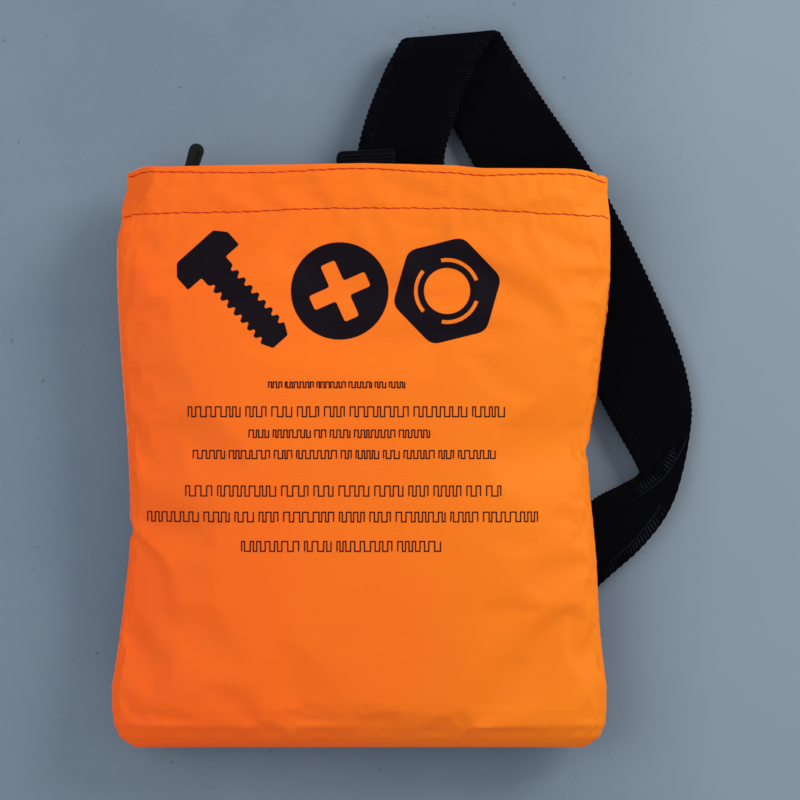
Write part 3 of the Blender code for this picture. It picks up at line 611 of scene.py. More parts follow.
def simulated_push(rows, columns):
    """Cloth simulation of the front panel on a coarse grid: how far each point moves."""
    flat = [p for row in grid(rows, columns, skin_point) for p in row]
    obj = added("sim_panel", mesh_from("sim_panel", flat, grid_faces(rows, columns), False))
    pins = obj.vertex_groups.new(name="pins")
    for r in range(rows):
        for c in range(columns):
            v, s = r / (rows - 1), c / (columns - 1)
            hold = max(smoothstep(0.10, 0.0, s), smoothstep(0.90, 1.0, s),
                       smoothstep(0.05, 0.0, v), 0.8 * bell(v, 0.915, 0.012),
                       smoothstep(0.975, 0.99, v))
            if hold > 0.02:
                pins.add([r * columns + c], hold, "REPLACE")
    cloth = obj.modifiers.new("cloth", "CLOTH")
    for key, value in {"vertex_group_mass": "pins", "quality": 6, "mass": 0.25,
                       "tension_stiffness": 40, "compression_stiffness": 30,
                       "shear_stiffness": 12, "bending_stiffness": 3.0, "shrink_min": -0.012,
                       "use_pressure": True, "uniform_pressure_force": 0.05}.items():
        setattr(cloth.settings, key, value)
    cloth.settings.effector_weights.gravity = 0.0
    cloth.collision_settings.use_collision = False
    for number in range(1, 23):
        SCENE.frame_set(number)
    shaped = obj.evaluated_get(bpy.context.evaluated_depsgraph_get()).to_mesh()
    moved = np.array([v.co for v in shaped.vertices]) - np.array([tuple(p) for p in flat])
    SCENE.frame_set(1)
    bpy.data.objects.remove(obj, do_unlink=True)
    push = moved.reshape(rows, columns, 3)
    length = np.linalg.norm(push, axis=2, keepdims=True)
    cap = 3.0 * MM
    return push * np.where(length > cap, cap / np.maximum(length, 1e-9), 1.0)


SIM_ROWS, SIM_COLUMNS = 96, 84
PUSH = simulated_push(SIM_ROWS, SIM_COLUMNS)


def pushed(s, v):
    """The simulated movement at a point, eased between the coarse grid's points."""
    r, c = v * (SIM_ROWS - 1), s * (SIM_COLUMNS - 1)
    i, j = min(int(r), SIM_ROWS - 2), min(int(c), SIM_COLUMNS - 2)
    a, b = r - i, c - j
    low = PUSH[i, j] * (1 - b) + PUSH[i, j + 1] * b
    high = PUSH[i + 1, j] * (1 - b) + PUSH[i + 1, j + 1] * b
    return Vector(low * (1 - a) + high * a)


# The lower hem stitching, in millimetres: it wanders a little and dips at both seams.
HEM_X = (-100, -94, -79, -67, -46, -25, 0, 24, 40, 56, 74, 87, 99, 102)
HEM_Z = (218.6, 220.0, 220.5, 220.8, 221.0, 222.2, 222.6, 222.5, 222.4, 221.6, 220.4, 219.7, 219.3,
         218.3)


def hem_line(x):
    """Height of the lower hem stitching."""
    return (float(np.interp(x / MM, HEM_X, HEM_Z)) + 0.12 * sin(x / MM * 0.4)) * MM


def edge_line(x):
    """Height of the stitching just below the mouth's edge, which it follows unevenly."""
    return top_at(x) - (1.85 + 0.5 * cos(2 * pi * (x / MM + 46) / 86)) * MM


def stitch_dimples(x, z):
    """Inward pull of the two stitched lines, with a small pucker at each needle hole."""
    pull = 0.0
    for line, depth in ((hem_line(x), 0.32), (edge_line(x), 0.26)):
        near = bell(z, line, 1.0 * MM)
        pucker = 0.75 + 0.25 * cos(2 * pi * x / STITCH_PITCH)
        pull -= depth * near * pucker * MM
        beside = bell(z, line - 2.4 * MM, 1.8 * MM) * sin(2 * pi * x / (2.7 * STITCH_PITCH))
        pull += 0.10 * beside * MM
    return pull


def side_seam(v, x):
    """The ridge and groove of the side seams, a little inside each edge."""
    level = v * HEIGHT
    pull = 0.0
    for side, depth in ((-1, 0.12), (1, 0.30)):
        wander = 0.7 * MM * sin(level * 41 + side)
        inset = abs(x - side_at(level, side)) - SEAM_INSET - wander
        pull += (0.6 * bell(inset, 1.3 * MM, 1.0 * MM) - bell(inset, 0, 0.9 * MM)) * depth * MM
    return pull * smoothstep(0.02, 0.06, v) * smoothstep(0.90, 0.84, v)


def front_point(s, v):
    """A point of the front panel's finished outer face."""
    point = skin_point(s, v) + pushed(s, v)
    hold = smoothstep(0.0, 0.12, s) * smoothstep(1.0, 0.88, s) * smoothstep(0.0, 0.06, v)
    point.y -= creases(point.x, point.z) * hold
    point.y -= (stitch_dimples(point.x, point.z) * smoothstep(0.0, 0.03, min(s, 1 - s))
                + side_seam(v, point.x))
    point.y = min(point.y, SEAM_Y)
    return point


def inward(surface, distance):
    """The same grid moved in along its normals, and kept off the back panel."""
    rows, columns = len(surface), len(surface[0])
    moved = []
    for r in range(rows):
        row = []
        for c in range(columns):
            a = surface[r][min(c + 1, columns - 1)] - surface[r][max(c - 1, 0)]
            b = surface[min(r + 1, rows - 1)][c] - surface[max(r - 1, 0)][c]
            normal = a.cross(b)
            if normal.length < 1e-12:
                normal = Vector((0, -1, 0))
            point = surface[r][c] - normal.normalized() * distance
            point.y = min(point.y, SEAM_Y)
            row.append(point)
        moved.append(row)
    return moved


def fold_over(surface, drop, steps):
    """Rows that carry a sheet over its top edge and down inside, as a turned hem."""
    bend = 0.9 * MM
    rows = []
    turns = [min(bend, 0.05 * MM + 0.45 * max(SEAM_Y - p.y, 0.0)) for p in surface[-1]]
    for k in range(1, HEM_TURN + 1):
        angle = pi * k / HEM_TURN
        rows.append([p + Vector((0, turn * (1 - cos(angle)), turn * sin(angle)))
                     for p, turn in zip(surface[-1], turns)])
    inside = inward(surface[-2:], 2 * bend)[-1]
    inside = [Vector((q.x, p.y, p.z)) for p, q in zip(rows[-1], inside)]
    for k in range(1, steps + 1):
        rows.append([p - Vector((0, 0, drop * k / steps)) for p in inside])
    return surface + rows


ROWS, COLUMNS = 240, 170
HEM_TURN = 5
OUTER = grid(ROWS, COLUMNS, front_point)
SKIN_TREE = BVHTree.FromPolygons([p for row in OUTER for p in row], grid_faces(ROWS, COLUMNS))


def on_skin(x, z, lift=0.0):
    """The point of the finished front face at x, z, lifted off it."""
    hit, normal = SKIN_TREE.ray_cast(Vector((x, -FAR, z)), Vector((0, 1, 0)))[:2]
    if hit is None:
        hit, normal = SKIN_TREE.find_nearest(Vector((x, SEAM_Y - MM, z)))[:2]
    if normal.y > 0:
        normal = -normal
    return hit + normal * lift


def make_front():
    folded = fold_over(OUTER, HEM_DROP, 10)
    inner = inward(folded, CLOTH_THICK)
    for r in range(ROWS + HEM_TURN, len(folded)):
        inner[r] = [p + Vector((0, CLOTH_THICK, 0)) for p in folded[r]]
    piece("front_fabric", sheet(folded, inner), FABRIC, "orange_fabric", "front_panel",
          "front_facing", smooth=50)


def back_y(x, z):
    """The back panel's gently rumpled rear face."""
    ripple = 0.30 * MM * noise.noise(Vector((x * 30, z * 26, 9.3)))
    ripple += 0.14 * MM * noise.noise(Vector((x * 90, z * 60, 2.3)))
    return -0.45 * MM + ripple


def back_point(s, v):
    left, right = side_at(v * HEIGHT, -1) + 0.2 * MM, side_at(v * HEIGHT, 1) - 0.2 * MM
    x = left + (right - left) * s
    z = BOTTOM + v * (top_at(x) - 1.6 * MM)
    return Vector((x, back_y(x, z), z))


def make_back():
    """The flat back panel with its own turned hem."""
    rear = grid(90, 70, back_point)
    ahead = [[p - Vector((0, CLOTH_THICK, 0)) for p in row] for row in rear]
    facing_front = [[Vector((x, -2.2 * MM, z)) for x in np.linspace(-0.090, 0.090, 40)]
                    for z in np.linspace(0.2205, 0.2375, 6)]
    facing_back = [[p + Vector((0, 0.5 * MM, 0)) for p in row] for row in facing_front]
    piece("back_fabric", joined([sheet(ahead, rear), sheet(facing_front, facing_back)]), FABRIC,
          "orange_fabric", "back_panel", "back_facing", smooth=50)


def on_front(x, z):
    return on_skin(x, z, 0.06 * MM)


def on_back(x, z):
    return Vector((x, back_y(x, z) + 0.02 * MM, z))


def make_hem_stitches():
    """Two rows through the front hem, and the same two through the back one."""
    for name, line, place, nodes in (
            ("hem_stitches_upper", edge_line, on_front, ["hem_thread_upper"]),
            ("hem_stitches_lower", hem_line, on_front, ["hem_thread_lower"]),
            ("back_hem_stitches_upper", lambda x: edge_line(x) - 1.4 * MM, on_back, []),
            ("back_hem_stitches_lower", hem_line, on_back, [])):
        rng = random.Random(name)
        parts = []
        x = side_at(line(FRONT_LOW.x), -1) + 0.7 * MM
        last = side_at(line(FRONT_HIGH.x), 1) - 0.7 * MM
        while x < last:
            length = min(STITCH_PITCH * 0.99, last - x)
            jog = rng.uniform(-0.12, 0.12) * MM
            path = []
            for t in np.linspace(0, 1, 7):
                here = x + length * t
                path.append(place(here, line(here) + (0.17 - 0.34 * t) * MM + jog))
            parts.append(stitch(path, STITCH_RADIUS))
            x += STITCH_PITCH
        piece(name, joined(parts), RED_THREAD, "red_thread", *nodes)


make_front()
make_back()
make_hem_stitches()


# ---- Print: generic hardware marks, and plain stepped strokes in place of the lettering ----

PRINT_LIFT = 0.12 * MM
INK_SPACING = 1.0 * MM


def inked(name, shapes):
    """Flat shapes (outline, holes) laid on the panel as thin ink."""
    built = bmesh.new()
    for outline, holes in shapes:
        edges = []
        for ring in [outline] + holes:
            points = [built.verts.new((x, 0, z)) for x, z in ring]
            edges += [built.edges.new(pair) for pair in zip(points, points[1:] + points[:1])]
        bmesh.ops.triangle_fill(built, use_beauty=True, edges=edges)
    # cut small enough to follow the cloth
    for axis in (Vector((1, 0, 0)), Vector((0, 0, 1))):
        reach = [vertex.co.dot(axis) for vertex in built.verts]
        start = min(reach)
        for k in range(1, int((max(reach) - start) / INK_SPACING) + 1):
            bmesh.ops.bisect_plane(built, geom=built.verts[:] + built.edges[:] + built.faces[:],
                                   plane_co=axis * (start + k * INK_SPACING), plane_no=axis)
    for vertex in built.verts:
        vertex.co = on_skin(vertex.co.x, vertex.co.z, PRINT_LIFT)
    bmesh.ops.recalc_face_normals(built, faces=built.faces)
    if sum(face.normal.y * face.calc_area() for face in built.faces) > 0:
        bmesh.ops.reverse_faces(built, faces=built.faces)
    mesh = bpy.data.meshes.new(name)
    built.to_mesh(mesh)
    built.free()
    piece(name, mesh, INK, "print_ink")


def soften(outline, radius):
    """A closed outline with its corners rounded off."""
    after = outline[1:] + outline[:1]
    return [tuple(point) for i, here in enumerate(outline)
            for point in round_corner(outline[i - 1], here, after[i], radius, 4)]


def scaled(points, cx, cz):
    return [((cx + x) * MM, (cz + z) * MM) for x, z in points]


def turned(points, degrees):
    c, d = cos(radians(degrees)), sin(radians(degrees))
    return [(x * c - z * d, x * d + z * c) for x, z in points]


def bolt_mark(cx, cz):
    """A hexagon-headed bolt lying aslant, its shank notched by threads."""
    head = [(-14, 13), (-14, 20), (-10, 24.5), (10, 24.5), (14, 20), (14, 13)]
    right = [(6.6, 13)]
    for k in range(8):
        z = 8.5 - k * 4.1
        right += [(6.6, z), (4.6, z - 1.0), (4.6, z - 1.8), (6.6, z - 2.8)]
    left = [(-x, z) for x, z in reversed(right)]
    outline = head + right + [(4, -28), (-4, -28)] + left
    return scaled(turned(soften(outline, 0.8), 42), cx, cz), []


def screw_mark(cx, cz):
    """A cross-headed screw from above."""
    arm, reach = 3.2, 12.5
    cross = []
    for k in range(4):
        cross += turned([(arm, reach), (arm, arm), (reach, arm)], -90 * k)
    rim = arc(0, 0, 20, [5 * k for k in range(72)])
    return scaled(rim, cx, cz), [scaled(turned(soften(cross, 1.2), 24), cx, cz)]


def nut_mark(cx, cz):
    """A hexagon nut, turned a little, with its thread shown as a broken ring."""
    hexagon = arc(0, 0, 23, [60 * k + 14 for k in range(6)])
    holes = [arc(0, 0, 9.5, [7.5 * k for k in range(48)])]
    for start in (20, 140, 260):
        sweep = [start + 9 * k for k in range(10)]
        holes.append(arc(0, 0, 13.6, sweep) + arc(0, 0, 12.0, reversed(sweep)))
    return scaled(soften(hexagon, 3.5), cx, cz), [scaled(hole, cx, cz) for hole in holes]


def meander(x0, x1, z, height, rng):
    """One thin stroke that steps up and down along a word's length, as a closed outline."""
    low, high, half = z - height / 2, z + height / 2, STROKE / 2
    line = [(x0, low)]
    up = True
    while line[-1][0] < x1:
        x = line[-1][0]
        line.append((x, high if up else low))
        line.append((x + height * rng.uniform(0.28, 0.62), line[-1][1]))
        up = not up
    line.append((line[-1][0], high if up else low))
    left, right = [], []
    for i, (x, y) in enumerate(line):
        sides = []
        for (ax, ay), (bx, by) in zip(line[max(i - 1, 0):i + 1], line[max(i, 1):i + 2]):
            length = hypot(bx - ax, by - ay)
            sides.append((-(by - ay) / length * half, (bx - ax) / length * half))
        shift = [sum(side[k] for side in sides) for k in (0, 1)]
        left.append((x + shift[0], y + shift[1]))
        right.append((x - shift[0], y - shift[1]))
    return [(x * MM, y * MM) for x, y in left + right[::-1]]


def greeked_line(start, end, z, height, seed):
    """A line of word-length meanders in place of lettering."""
    rng = random.Random(seed)
    shapes = []
    x = start
    while x < end - 2:
        stop = min(x + rng.choice((2, 3, 4, 6, 8, 9)) * 0.62 * height, end)
        shapes.append((meander(x, stop, z, height, rng), []))
        x = max(p[0] for p in shapes[-1][0]) / MM + 0.55 * height
    return shapes


MARK_Z = 188.5
STROKE = 0.5
TEXT_LINES = ((-38, 21, 150.0, 2.3, 3), (-71, 56, 139.0, 4.0, 5), (-46, 27, 130.0, 3.0, 7),
              (-69, 54, 121.5, 3.2, 11), (-72, 57, 106.6, 4.1, 13), (-88, 74, 96.0, 3.9, 17),
              (-49, 32, 84.0, 4.0, 19))


def make_print():
    inked("print_bolt", [bolt_mark(-52, MARK_Z)])
    inked("print_screw", [screw_mark(-9, MARK_Z)])
    inked("print_nut", [nut_mark(35, MARK_Z)])
    for number, (start, end, z, height, seed) in enumerate(TEXT_LINES):
        inked(f"print_line_{number + 1}", greeked_line(start, end, z, height, seed))


make_print()


# ---- Webbing ----

def strap_edges():
    """Both edges of the strap, as in the frame's solid; the stations are in millimetres."""
    run = [((-4, 1.2, 150), (36, 1.2, 150)),
           ((-4, 1.2, 174), (36, 1.2, 174)),
           ((-4, 4.8, 194), (36, 4.8, 194)),
           ((-3, 4.8, 238), (34, 4.8, 238)),
           ((0.5, 5.2, 258), (37.5, 5.2, 257)),
           ((8, 6.0, 278), (46, 6.0, 280)),
           ((12.6, 6.4, 287), (51.5, 6.4, 290)),
           ((16.8, 9.6, 293.5), (56.4, 9.6, 297)),
           ((21, 12.8, 287.5), (60.8, 12.8, 291.5)),
           ((26.5, 13.2, 277.5), (65.6, 13.2, 284)),
           ((37.2, 13.2, 258), (75.5, 13.2, 269)),
           ((64, 12.6, 208), (101, 12.6, 231)),
           ((91, 11.5, 158), (127, 12.6, 178)),
           ((104, 10.6, 134), (136.2, 12.4, 150)),
           ((113.6, 9.8, 117), (136.6, 12.0, 130)),
           ((114.2, 9.4, 112.8), (129.8, 11.0, 102)),
           ((107, 8.8, 108.6), (117.4, 9.4, 83.6)),
           ((95, 8.0, 102), (98, 8.2, 66)),
           ((80, 7.2, 86.5), (81, 7.2, 47)),
           ((69, 6.6, 75), (70, 6.6, 35.5)),
           ((61, 6.4, 70.8), (61, 6.4, 30.8)),
           ((53, 6.35, 70), (53, 6.35, 30)),
           ((30, 6.35, 70), (30, 6.35, 30)),
           ((21, 6.35, 70), (21, 6.35, 30))]
    for x, y in (*arc(17.0, 10.0, BAR_WRAP / MM, range(-90, -271, -30)), (20, 13.5), (26, 13.1),
                 (34, 12.8), (46, 12.6), (60, 12.6), (76, 12.6)):
        run.append(((x, y, 70), (x, y, 30)))
    return [eased([Vector(pair[side]) * MM for pair in run], 8) for side in (0, 1)]


INNER_EDGE, OUTER_EDGE = strap_edges()


def evened(lines, spacing):
    """Resample a band's two edges together at even steps along its middle."""
    middle = [(a + b) / 2 for a, b in zip(*lines)]
    reach = [0.0]
    for p, q in zip(middle, middle[1:]):
        reach.append(reach[-1] + (q - p).length)
    marks = np.linspace(0, reach[-1], int(reach[-1] / spacing) + 1)
    even = [[Vector(p) for p in zip(*(np.interp(marks, reach, [p[k] for p in line])
                                      for k in range(3)))] for line in lines]
    return *even, marks


def web_section(width):
    """Across and height of a webbing's face: a rounded selvedge and a faint rib band."""
    profile = []
    for u in np.linspace(-1, 1, 23):
        across = copysign(abs(u) ** 0.8, u)
        inset = (1 - abs(across)) * width / 2
        height = 1.0 - 0.75 * exp(-inset / (0.35 * MM))
        height += 0.10 * smoothstep(RIB_BAND, RIB_BAND - 1.2 * MM, inset)
        profile.append((across, height))
    return profile


def web_mesh(name, lines, width, thickness, spacing=0.57 * MM, scallop=0.24 * MM):
    """A webbing band between two edge lines, with scalloped selvedges and metric UVs."""
    a_line, b_line, marks = evened(lines, spacing)
    count = len(a_line)
    profile = web_section(width)
    vertices, uvs = [], []
    for i in range(count):
        before, after = max(i - 2, 0), min(i + 2, count - 1)
        along = (a_line[after] + b_line[after]) - (a_line[before] + b_line[before])
        across = b_line[i] - a_line[i]
        out = along.cross(across).normalized() * (thickness / 2)
        wave = scallop * cos(2 * pi * marks[i] / SCALLOP_PITCH)
        middle = (a_line[i] + b_line[i]) / 2
        trim = 1 + (wave - scallop) / (width / 2)
        for side in (1, -1):
            for u, height in profile[::side]:
                edge = trim if abs(u) > 0.93 else 1.0
                vertices.append(middle + across / 2 * (u * edge) + out * (height * side))
                uvs.append((marks[i], u * width / 2))
    return with_uvs(mesh_from(name, vertices, tube_faces(count, 2 * len(profile))), uvs)


def make_strap():
    mesh = web_mesh("strap_webbing", (INNER_EDGE, OUTER_EDGE), 2 * WEB_HALF, WEB)
    piece("strap_webbing", mesh, WEBBING, "webbing", "strap", smooth=50)


LOOP_WIDTH = 25 * MM
LOOP_CORNER = 2.6 * MM
LOOP_SLOPE = 0.05


def make_loop():
    """The folded 25 mm loop: two legs against the back and a soft fold above the hem."""
    low, high = box("hanging_loop")
    middle = (low.y + high.y) / 2
    bend = (high.y - low.y) / 2 - WEB / 2
    top = high.z - WEB / 2 - bend
    leg = [z for z in np.linspace(low.z, high.z - 2 * MM, 12) if z < top]
    path = [(middle - bend, z) for z in leg] + arc(middle, top, bend, range(165, 0, -15))
    path += [(middle + bend, z) for z in reversed(leg)]
    lines = [[Vector((x, y, z)) for y, z in path] for x in (low.x, high.x)]
    mesh = web_mesh("loop_webbing", lines, LOOP_WIDTH, WEB * 0.94, 0.5 * MM, 0.08 * MM)
    for vertex in mesh.vertices:
        near_top = smoothstep(top - 9 * MM, top, vertex.co.z)
        corner = min((vertex.co.x - low.x) / LOOP_CORNER, 1.0)
        sag = LOOP_CORNER * (1 - sqrt(max(1 - (1 - corner) ** 2, 0.0)))
        vertex.co.z -= near_top * (0.8 * sag + LOOP_SLOPE * (high.x - vertex.co.x))
    piece("loop_webbing", mesh, NARROW_WEBBING, "webbing", "hanging_loop", smooth=50)


def strap_ribbon(name, cord_line, far_line, lift):
    """A ribbed band laid on the strap's front between two lines, raised along the first."""
    tree = BVHTree.FromObject(bpy.data.objects["strap_webbing"],
                              bpy.context.evaluated_depsgraph_get())
    steps = 12
    rows, back, uvs, reach = [], [], [], 0.0
    for i, (cord, far) in enumerate(zip(cord_line, far_line)):
        reach += (cord - cord_line[max(i - 1, 0)]).length
        share = i / (len(cord_line) - 1)
        ends = smoothstep(0.0, 0.18, share) * smoothstep(1.0, 0.82, share)
        row, under = [], []
        for k in range(steps + 1):
            spot = cord + (far - cord) * (k / steps)
            hit = tree.ray_cast(spot + SHIFT - Vector((0, FAR, 0)), Vector((0, 1, 0)))[0]
            if hit is None:
                hit = tree.find_nearest(spot + SHIFT + Vector((0, 9 * MM, 0)))[0]
            raised = (1 - k / steps) ** 1.5 * ends * (0.45 if k == 0 else 1.0)
            level = hit.y - SHIFT.y
            row.append(Vector((spot.x, level - (0.02 + 0.04 * ends) * MM - lift * raised, spot.z)))
            under.append(Vector((spot.x, level + 0.05 * MM, spot.z)))
            uvs.append((reach, (spot - cord).length))
        rows.append(row)
        back.append(under)
    piece(name, with_uvs(mesh_from(name, *sheet(rows, back)), uvs), SELVEDGE, "webbing")


def make_pleats():
    """Where the strap turns back, its selvedge stands up and catches the light."""
    line = [(135.2, 128.0), (134.2, 124.6), (131.0, 118.6), (126.1, 111.6), (119.6, 106.2),
            (111.6, 101.0), (105.4, 97.7)]
    cord = eased([Vector((x, 0.0, z)) * MM for x, z in line], 10)
    far = []
    for i, here in enumerate(cord):
        along = cord[min(i + 1, len(cord) - 1)] - cord[max(i - 1, 0)]
        normal = Vector((along.z, 0, -along.x)).normalized()
        share = i / (len(cord) - 1)
        width = 7.0 * MM * smoothstep(-0.05, 0.25, share) * smoothstep(1.1, 0.75, share)
        far.append(here + normal * max(width, 0.4 * MM))
    strap_ribbon("strap_pleat", cord, far, 0.75 * MM)
    # the ribbed band along the outer edge of the lower run
    cord, far = [], []
    for a, b in zip(INNER_EDGE, OUTER_EDGE):
        if a.x < 0.1145 and 0.060 < b.z < 0.0985 and b.x > 0.088 and a.z < 0.114:
            reach = (a - b).normalized()
            cord.append(b + reach * 5.6 * MM)
            far.append(b + reach * 0.5 * MM)
    strap_ribbon("strap_selvedge", cord, far, 0.12 * MM)


make_strap()
make_loop()
make_pleats()


# ---- Zip ----

ZIP_Y = -7.2 * MM
ZIP_Z = 221 * MM
COIL_PITCH = 1.55 * MM


def turned_in(points):
    """An open path whose inner corners are rounded off."""
    line = [Vector(points[0])]
    for before, here, after in zip(points, points[1:], points[2:]):
        line += round_corner(before, here, after, 1.6 * MM, 5)
    return line + [Vector(points[-1])]


def make_tapes():
    """Both tapes: sewn to the facings, turned in, and running up to the coils."""
    for half, side in (("front", -1), ("back", 1)):
        low, high = box(f"zip_tape_{half}")
        rows = []
        for x in np.linspace(low.x, high.x, 90):
            outer = -2.6 * MM
            if side < 0:
                outer = min(on_skin(x, ZIP_Z + 2 * MM).y + 2.7 * MM, ZIP_Y - 2.9 * MM)
            ripple = 0.12 * MM * sin(x / MM * 0.9) * noise.noise(Vector((x * 60, side, 0)))
            level = ZIP_Z - 0.6 * MM + ripple
            inner = ZIP_Y + side * 0.9 * MM
            rows.append(turned_in([(x, outer, high.z), (x, outer, level), (x, inner, level)]))
        shade = Vector((0, 0.35 * MM * -side, 0.35 * MM))
        piece(f"tape_{half}", sheet(rows, [[p + shade for p in row] for row in rows]), TAPE_CLOTH,
              "zip_tape", f"zip_tape_{half}")


def make_coils():
    """The two coils: flattened helices whose loops meet along the middle."""
    steps = 10
    for half, side in (("front", -1), ("back", 1)):
        low, high = box(f"zip_teeth_{half}")
        turns = int((high.x - low.x) / COIL_PITCH)
        centre_y = ZIP_Y + side * 1.55 * MM
        start = low.x + (0 if side < 0 else COIL_PITCH / 2)
        coil = []
        for k in range(turns * steps + 1):
            angle = 2 * pi * k / steps
            squarish = copysign(abs(cos(angle)) ** 0.7, cos(angle))
            coil.append(Vector((start + COIL_PITCH * k / steps,
                                centre_y - side * 1.2 * MM * squarish,
                                ZIP_Z + 0.62 * MM * sin(angle))))
        cord = [Vector((x, centre_y + side * 0.25 * MM, ZIP_Z))
                for x in np.linspace(low.x, high.x, 60)]
        parts = [tube(path, [radius] * len(path))
                 for path, radius in ((coil, 0.27 * MM), (cord, 0.26 * MM))]
        piece(f"coil_{half}", joined(parts), ZIP_PLASTIC, "zip_teeth", f"zip_teeth_{half}")


def dress(node, material, bevel, segments):
    """Keep a CAD node, with a finished material and softened edges."""
    obj = NODES[node]
    obj.material_slots[0].link = "OBJECT"
    obj.material_slots[0].material = material
    if bevel:
        edges = obj.modifiers.new("edges", "BEVEL")
        edges.width = bevel
        edges.segments = segments
        edges.limit_method = "ANGLE"
        edges.angle_limit = radians(40)


DRESSED = (("zip_slider", METAL, 0.22 * MM, 2), ("puller_ring", METAL, 0, 0),
           ("puller_tab", PULLER_PLASTIC, 0.35 * MM, 3), ("closing_stop", METAL, 0.2 * MM, 2),
           ("opening_stop", METAL, 0.2 * MM, 2), ("buckle_socket", BUCKLE_PLASTIC, 0.6 * MM, 3),
           ("buckle_plug", BUCKLE_PLASTIC, 0.6 * MM, 3),
           ("latch_arm_upper", BUCKLE_PLASTIC, 0.5 * MM, 3),
           ("latch_arm_lower", BUCKLE_PLASTIC, 0.5 * MM, 3))

make_tapes()
make_coils()
for dressed in DRESSED:
    dress(*dressed)


# ---- Bindings, box stitches, chape and keeper ----

def make_bindings():
    """Folded binding tape over the seam allowances inside the bag."""
    for half, side in (("left", -1), ("right", 1)):
        low, high = box(f"seam_binding_{half}")
        front, back = [], []
        for z in np.linspace(low.z, high.z, 70):
            outer = side_at(z, side) - side * 7.2 * MM
            ripple = 0.1 * MM * noise.noise(Vector((z * 90, side, 2)))
            section = [(outer - side * reach * MM, y * MM + ripple)
                       for reach, y in ((0, -1.7), (3.4, -1.75), (6.6, -2.0))]
            front.append([Vector((x, y - 0.7 * MM, z)) for x, y in section])
            back.append([Vector((x, y, z)) for x, y in section])
        piece(f"binding_{half}", sheet(front, back), TAPE_CLOTH, "binding",
              f"seam_binding_{half}")


def make_box_stitches():
    """Boxes with a cross, in separate stitches, on the rear faces of the webbing."""
    for name, node in (("stitches_strap_lower", "strap_stitching_lower"),
                       ("stitches_strap_upper", "strap_stitching_upper"),
                       ("stitches_chape", "chape_stitching")):
        low, high = box(node)
        rear = low.y - 0.25 * MM
        a, b, c, d = [Vector((x, rear, z)) for x, z in ((low.x, low.z), (high.x, low.z),
                                                        (high.x, high.z), (low.x, high.z))]
        parts = []
        for start, end in ((a, b), (b, c), (c, d), (d, a), (a, c), (d, b)):
            count = max(int((end - start).length / (3.2 * MM)), 1)
            for k in range(count):
                parts.append(stitch([start.lerp(end, (k + t) / count)
                                     for t in np.linspace(0.08, 0.92, 7)], 0.34 * MM))
        piece(name, joined(parts), BLACK_THREAD, "black_thread", node)


def make_chape():
    """The short webbing that holds the socket: from the seam, round the bar and back."""
    low, high = box("buckle_chape")
    path = [(-91, 1.1), (-78, 1.1), (-68, 1.1), (-61, 3.2)]
    path += arc(-51.5, 10, BAR_WRAP / MM, np.linspace(-100, 120, 10))
    path += [(-58.5, 10.2), (-64, 5.4), (-71, 3.4), (-78, 3.0), (-91, 3.0)]
    lines = [eased([Vector((x * MM, y * MM, z)) for x, y in path], 6) for z in (high.z, low.z)]
    mesh = web_mesh("chape_webbing", lines, 2 * WEB_HALF, WEB * 0.96)
    piece("chape_webbing", mesh, WEBBING, "webbing", "buckle_chape", smooth=50)


def make_keeper():
    """A woven elastic band round the strap and its tail."""
    low, high = box("tail_keeper")
    middle, half = (low + high) / 2, (high - low) / 2
    radius, wall = 2.2 * MM, 0.9 * MM
    outline = [point for k, (y, z) in enumerate(((1, 1), (-1, 1), (-1, -1), (1, -1)))
               for point in arc(y * (half.y - radius), z * (half.z - radius), radius,
                                [90 * k + 15 * step for step in range(7)])]

    def ring(x, y_share, z_share):
        return [Vector((x, middle.y + y * y_share, middle.z + z * z_share)) for y, z in outline]

    outer, inner = [], []
    for x in np.linspace(low.x, high.x, 26):
        edge = 1 - 0.02 * bell(x, low.x, 0.6 * MM) - 0.02 * bell(x, high.x, 0.6 * MM)
        outer.append(ring(x, edge, edge))
        inner.append(ring(x, 1 - wall / half.y, 1 - wall / half.z))
    count = len(outline)
    size = len(outer) * count
    walls = grid_faces(len(outer), count, wrap=True)
    faces = walls + [tuple(size + i for i in reversed(face)) for face in walls]
    for start in (0, size - count):
        rim = list(range(start, start + count))
        faces += [(a, b, size + b, size + a) for a, b in zip(rim, rim[1:] + rim[:1])]
    piece("keeper_elastic", ([p for row in outer + inner for p in row], faces), ELASTIC,
          "elastic", "tail_keeper", body="keeper", smooth=50)


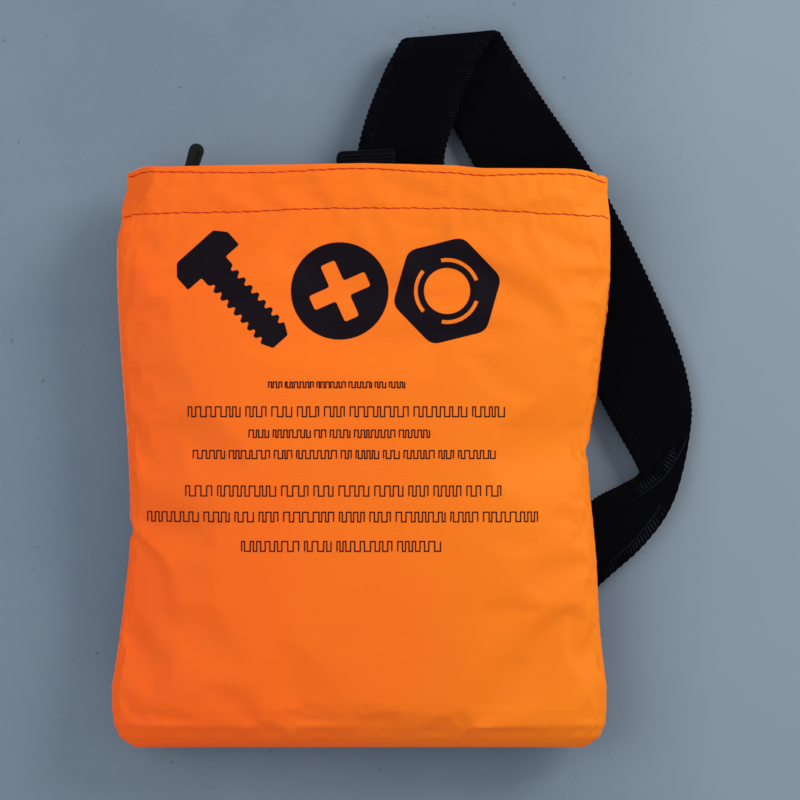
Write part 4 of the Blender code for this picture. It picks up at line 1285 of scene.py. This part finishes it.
make_bindings()
make_box_stitches()
make_chape()
make_keeper()


# ---- Stage, light and camera ----

AIM = Vector((0.0157, 0.0, 0.1438)) + SHIFT


def make_stage():
    """The floor on which the object lies on its back, as a pale slab behind it."""
    half, level = 0.75, CAD_BOX[1][1] + 0.8 * MM
    corners = [(AIM.x + x * half, level, AIM.z + z * half)
               for x, z in ((-1, -1), (1, -1), (1, 1), (-1, 1))]
    floor = added("floor", mesh_from("floor", corners, [(0, 1, 2, 3)], False))
    floor.data.materials.append(pale_floor())
    floor.visible_shadow = False
    floor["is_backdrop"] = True


def area_light(name, place, size, power, colour):
    light = bpy.data.lights.new(name, "AREA")
    light.shape = "DISK"
    light.size = size
    light.energy = power
    light.color = colour
    obj = added(name, light)
    obj.location = place
    obj.rotation_euler = (AIM - Vector(place)).to_track_quat("-Z", "Y").to_euler()


def make_lights():
    area_light("key", (0.85, -0.62, 0.80), 0.60, 9.2, (1.0, 0.97, 0.92))
    area_light("fill", (-0.8, -1.0, 0.20), 1.1, 4.5, (0.92, 0.96, 1.0))
    area_light("rear", (-0.35, 1.15, 0.55), 1.1, 15.0, (1.0, 0.98, 0.96))
    world = bpy.data.worlds.new("studio")
    world.use_nodes = True
    background = world.node_tree.nodes["Background"]
    background.inputs[0].default_value = (0.86, 0.89, 0.93, 1.0)
    background.inputs[1].default_value = 0.44
    SCENE.world = world


def make_camera():
    """Straight on, from the height of the picture's middle, through a long lens."""
    lens, sensor, shown = 200.0, 36.0, 0.3306
    camera = bpy.data.cameras.new("camera")
    camera.lens = lens
    camera.sensor_width = sensor
    SCENE.camera = added("camera", camera)
    SCENE.camera.location = AIM + Vector((0, SEAM_Y - shown * lens / sensor, 0))
    SCENE.camera.rotation_euler = (radians(90), 0, 0)


make_stage()
make_lights()
make_camera()
SCENE.view_settings.view_transform = "Standard"


def write_sizes():
    boxes = {"cad": CAD_BOX, "visual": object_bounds()}
    plain = {name: [[float(c) for c in corner] for corner in box] for name, box in boxes.items()}


write_sizes()
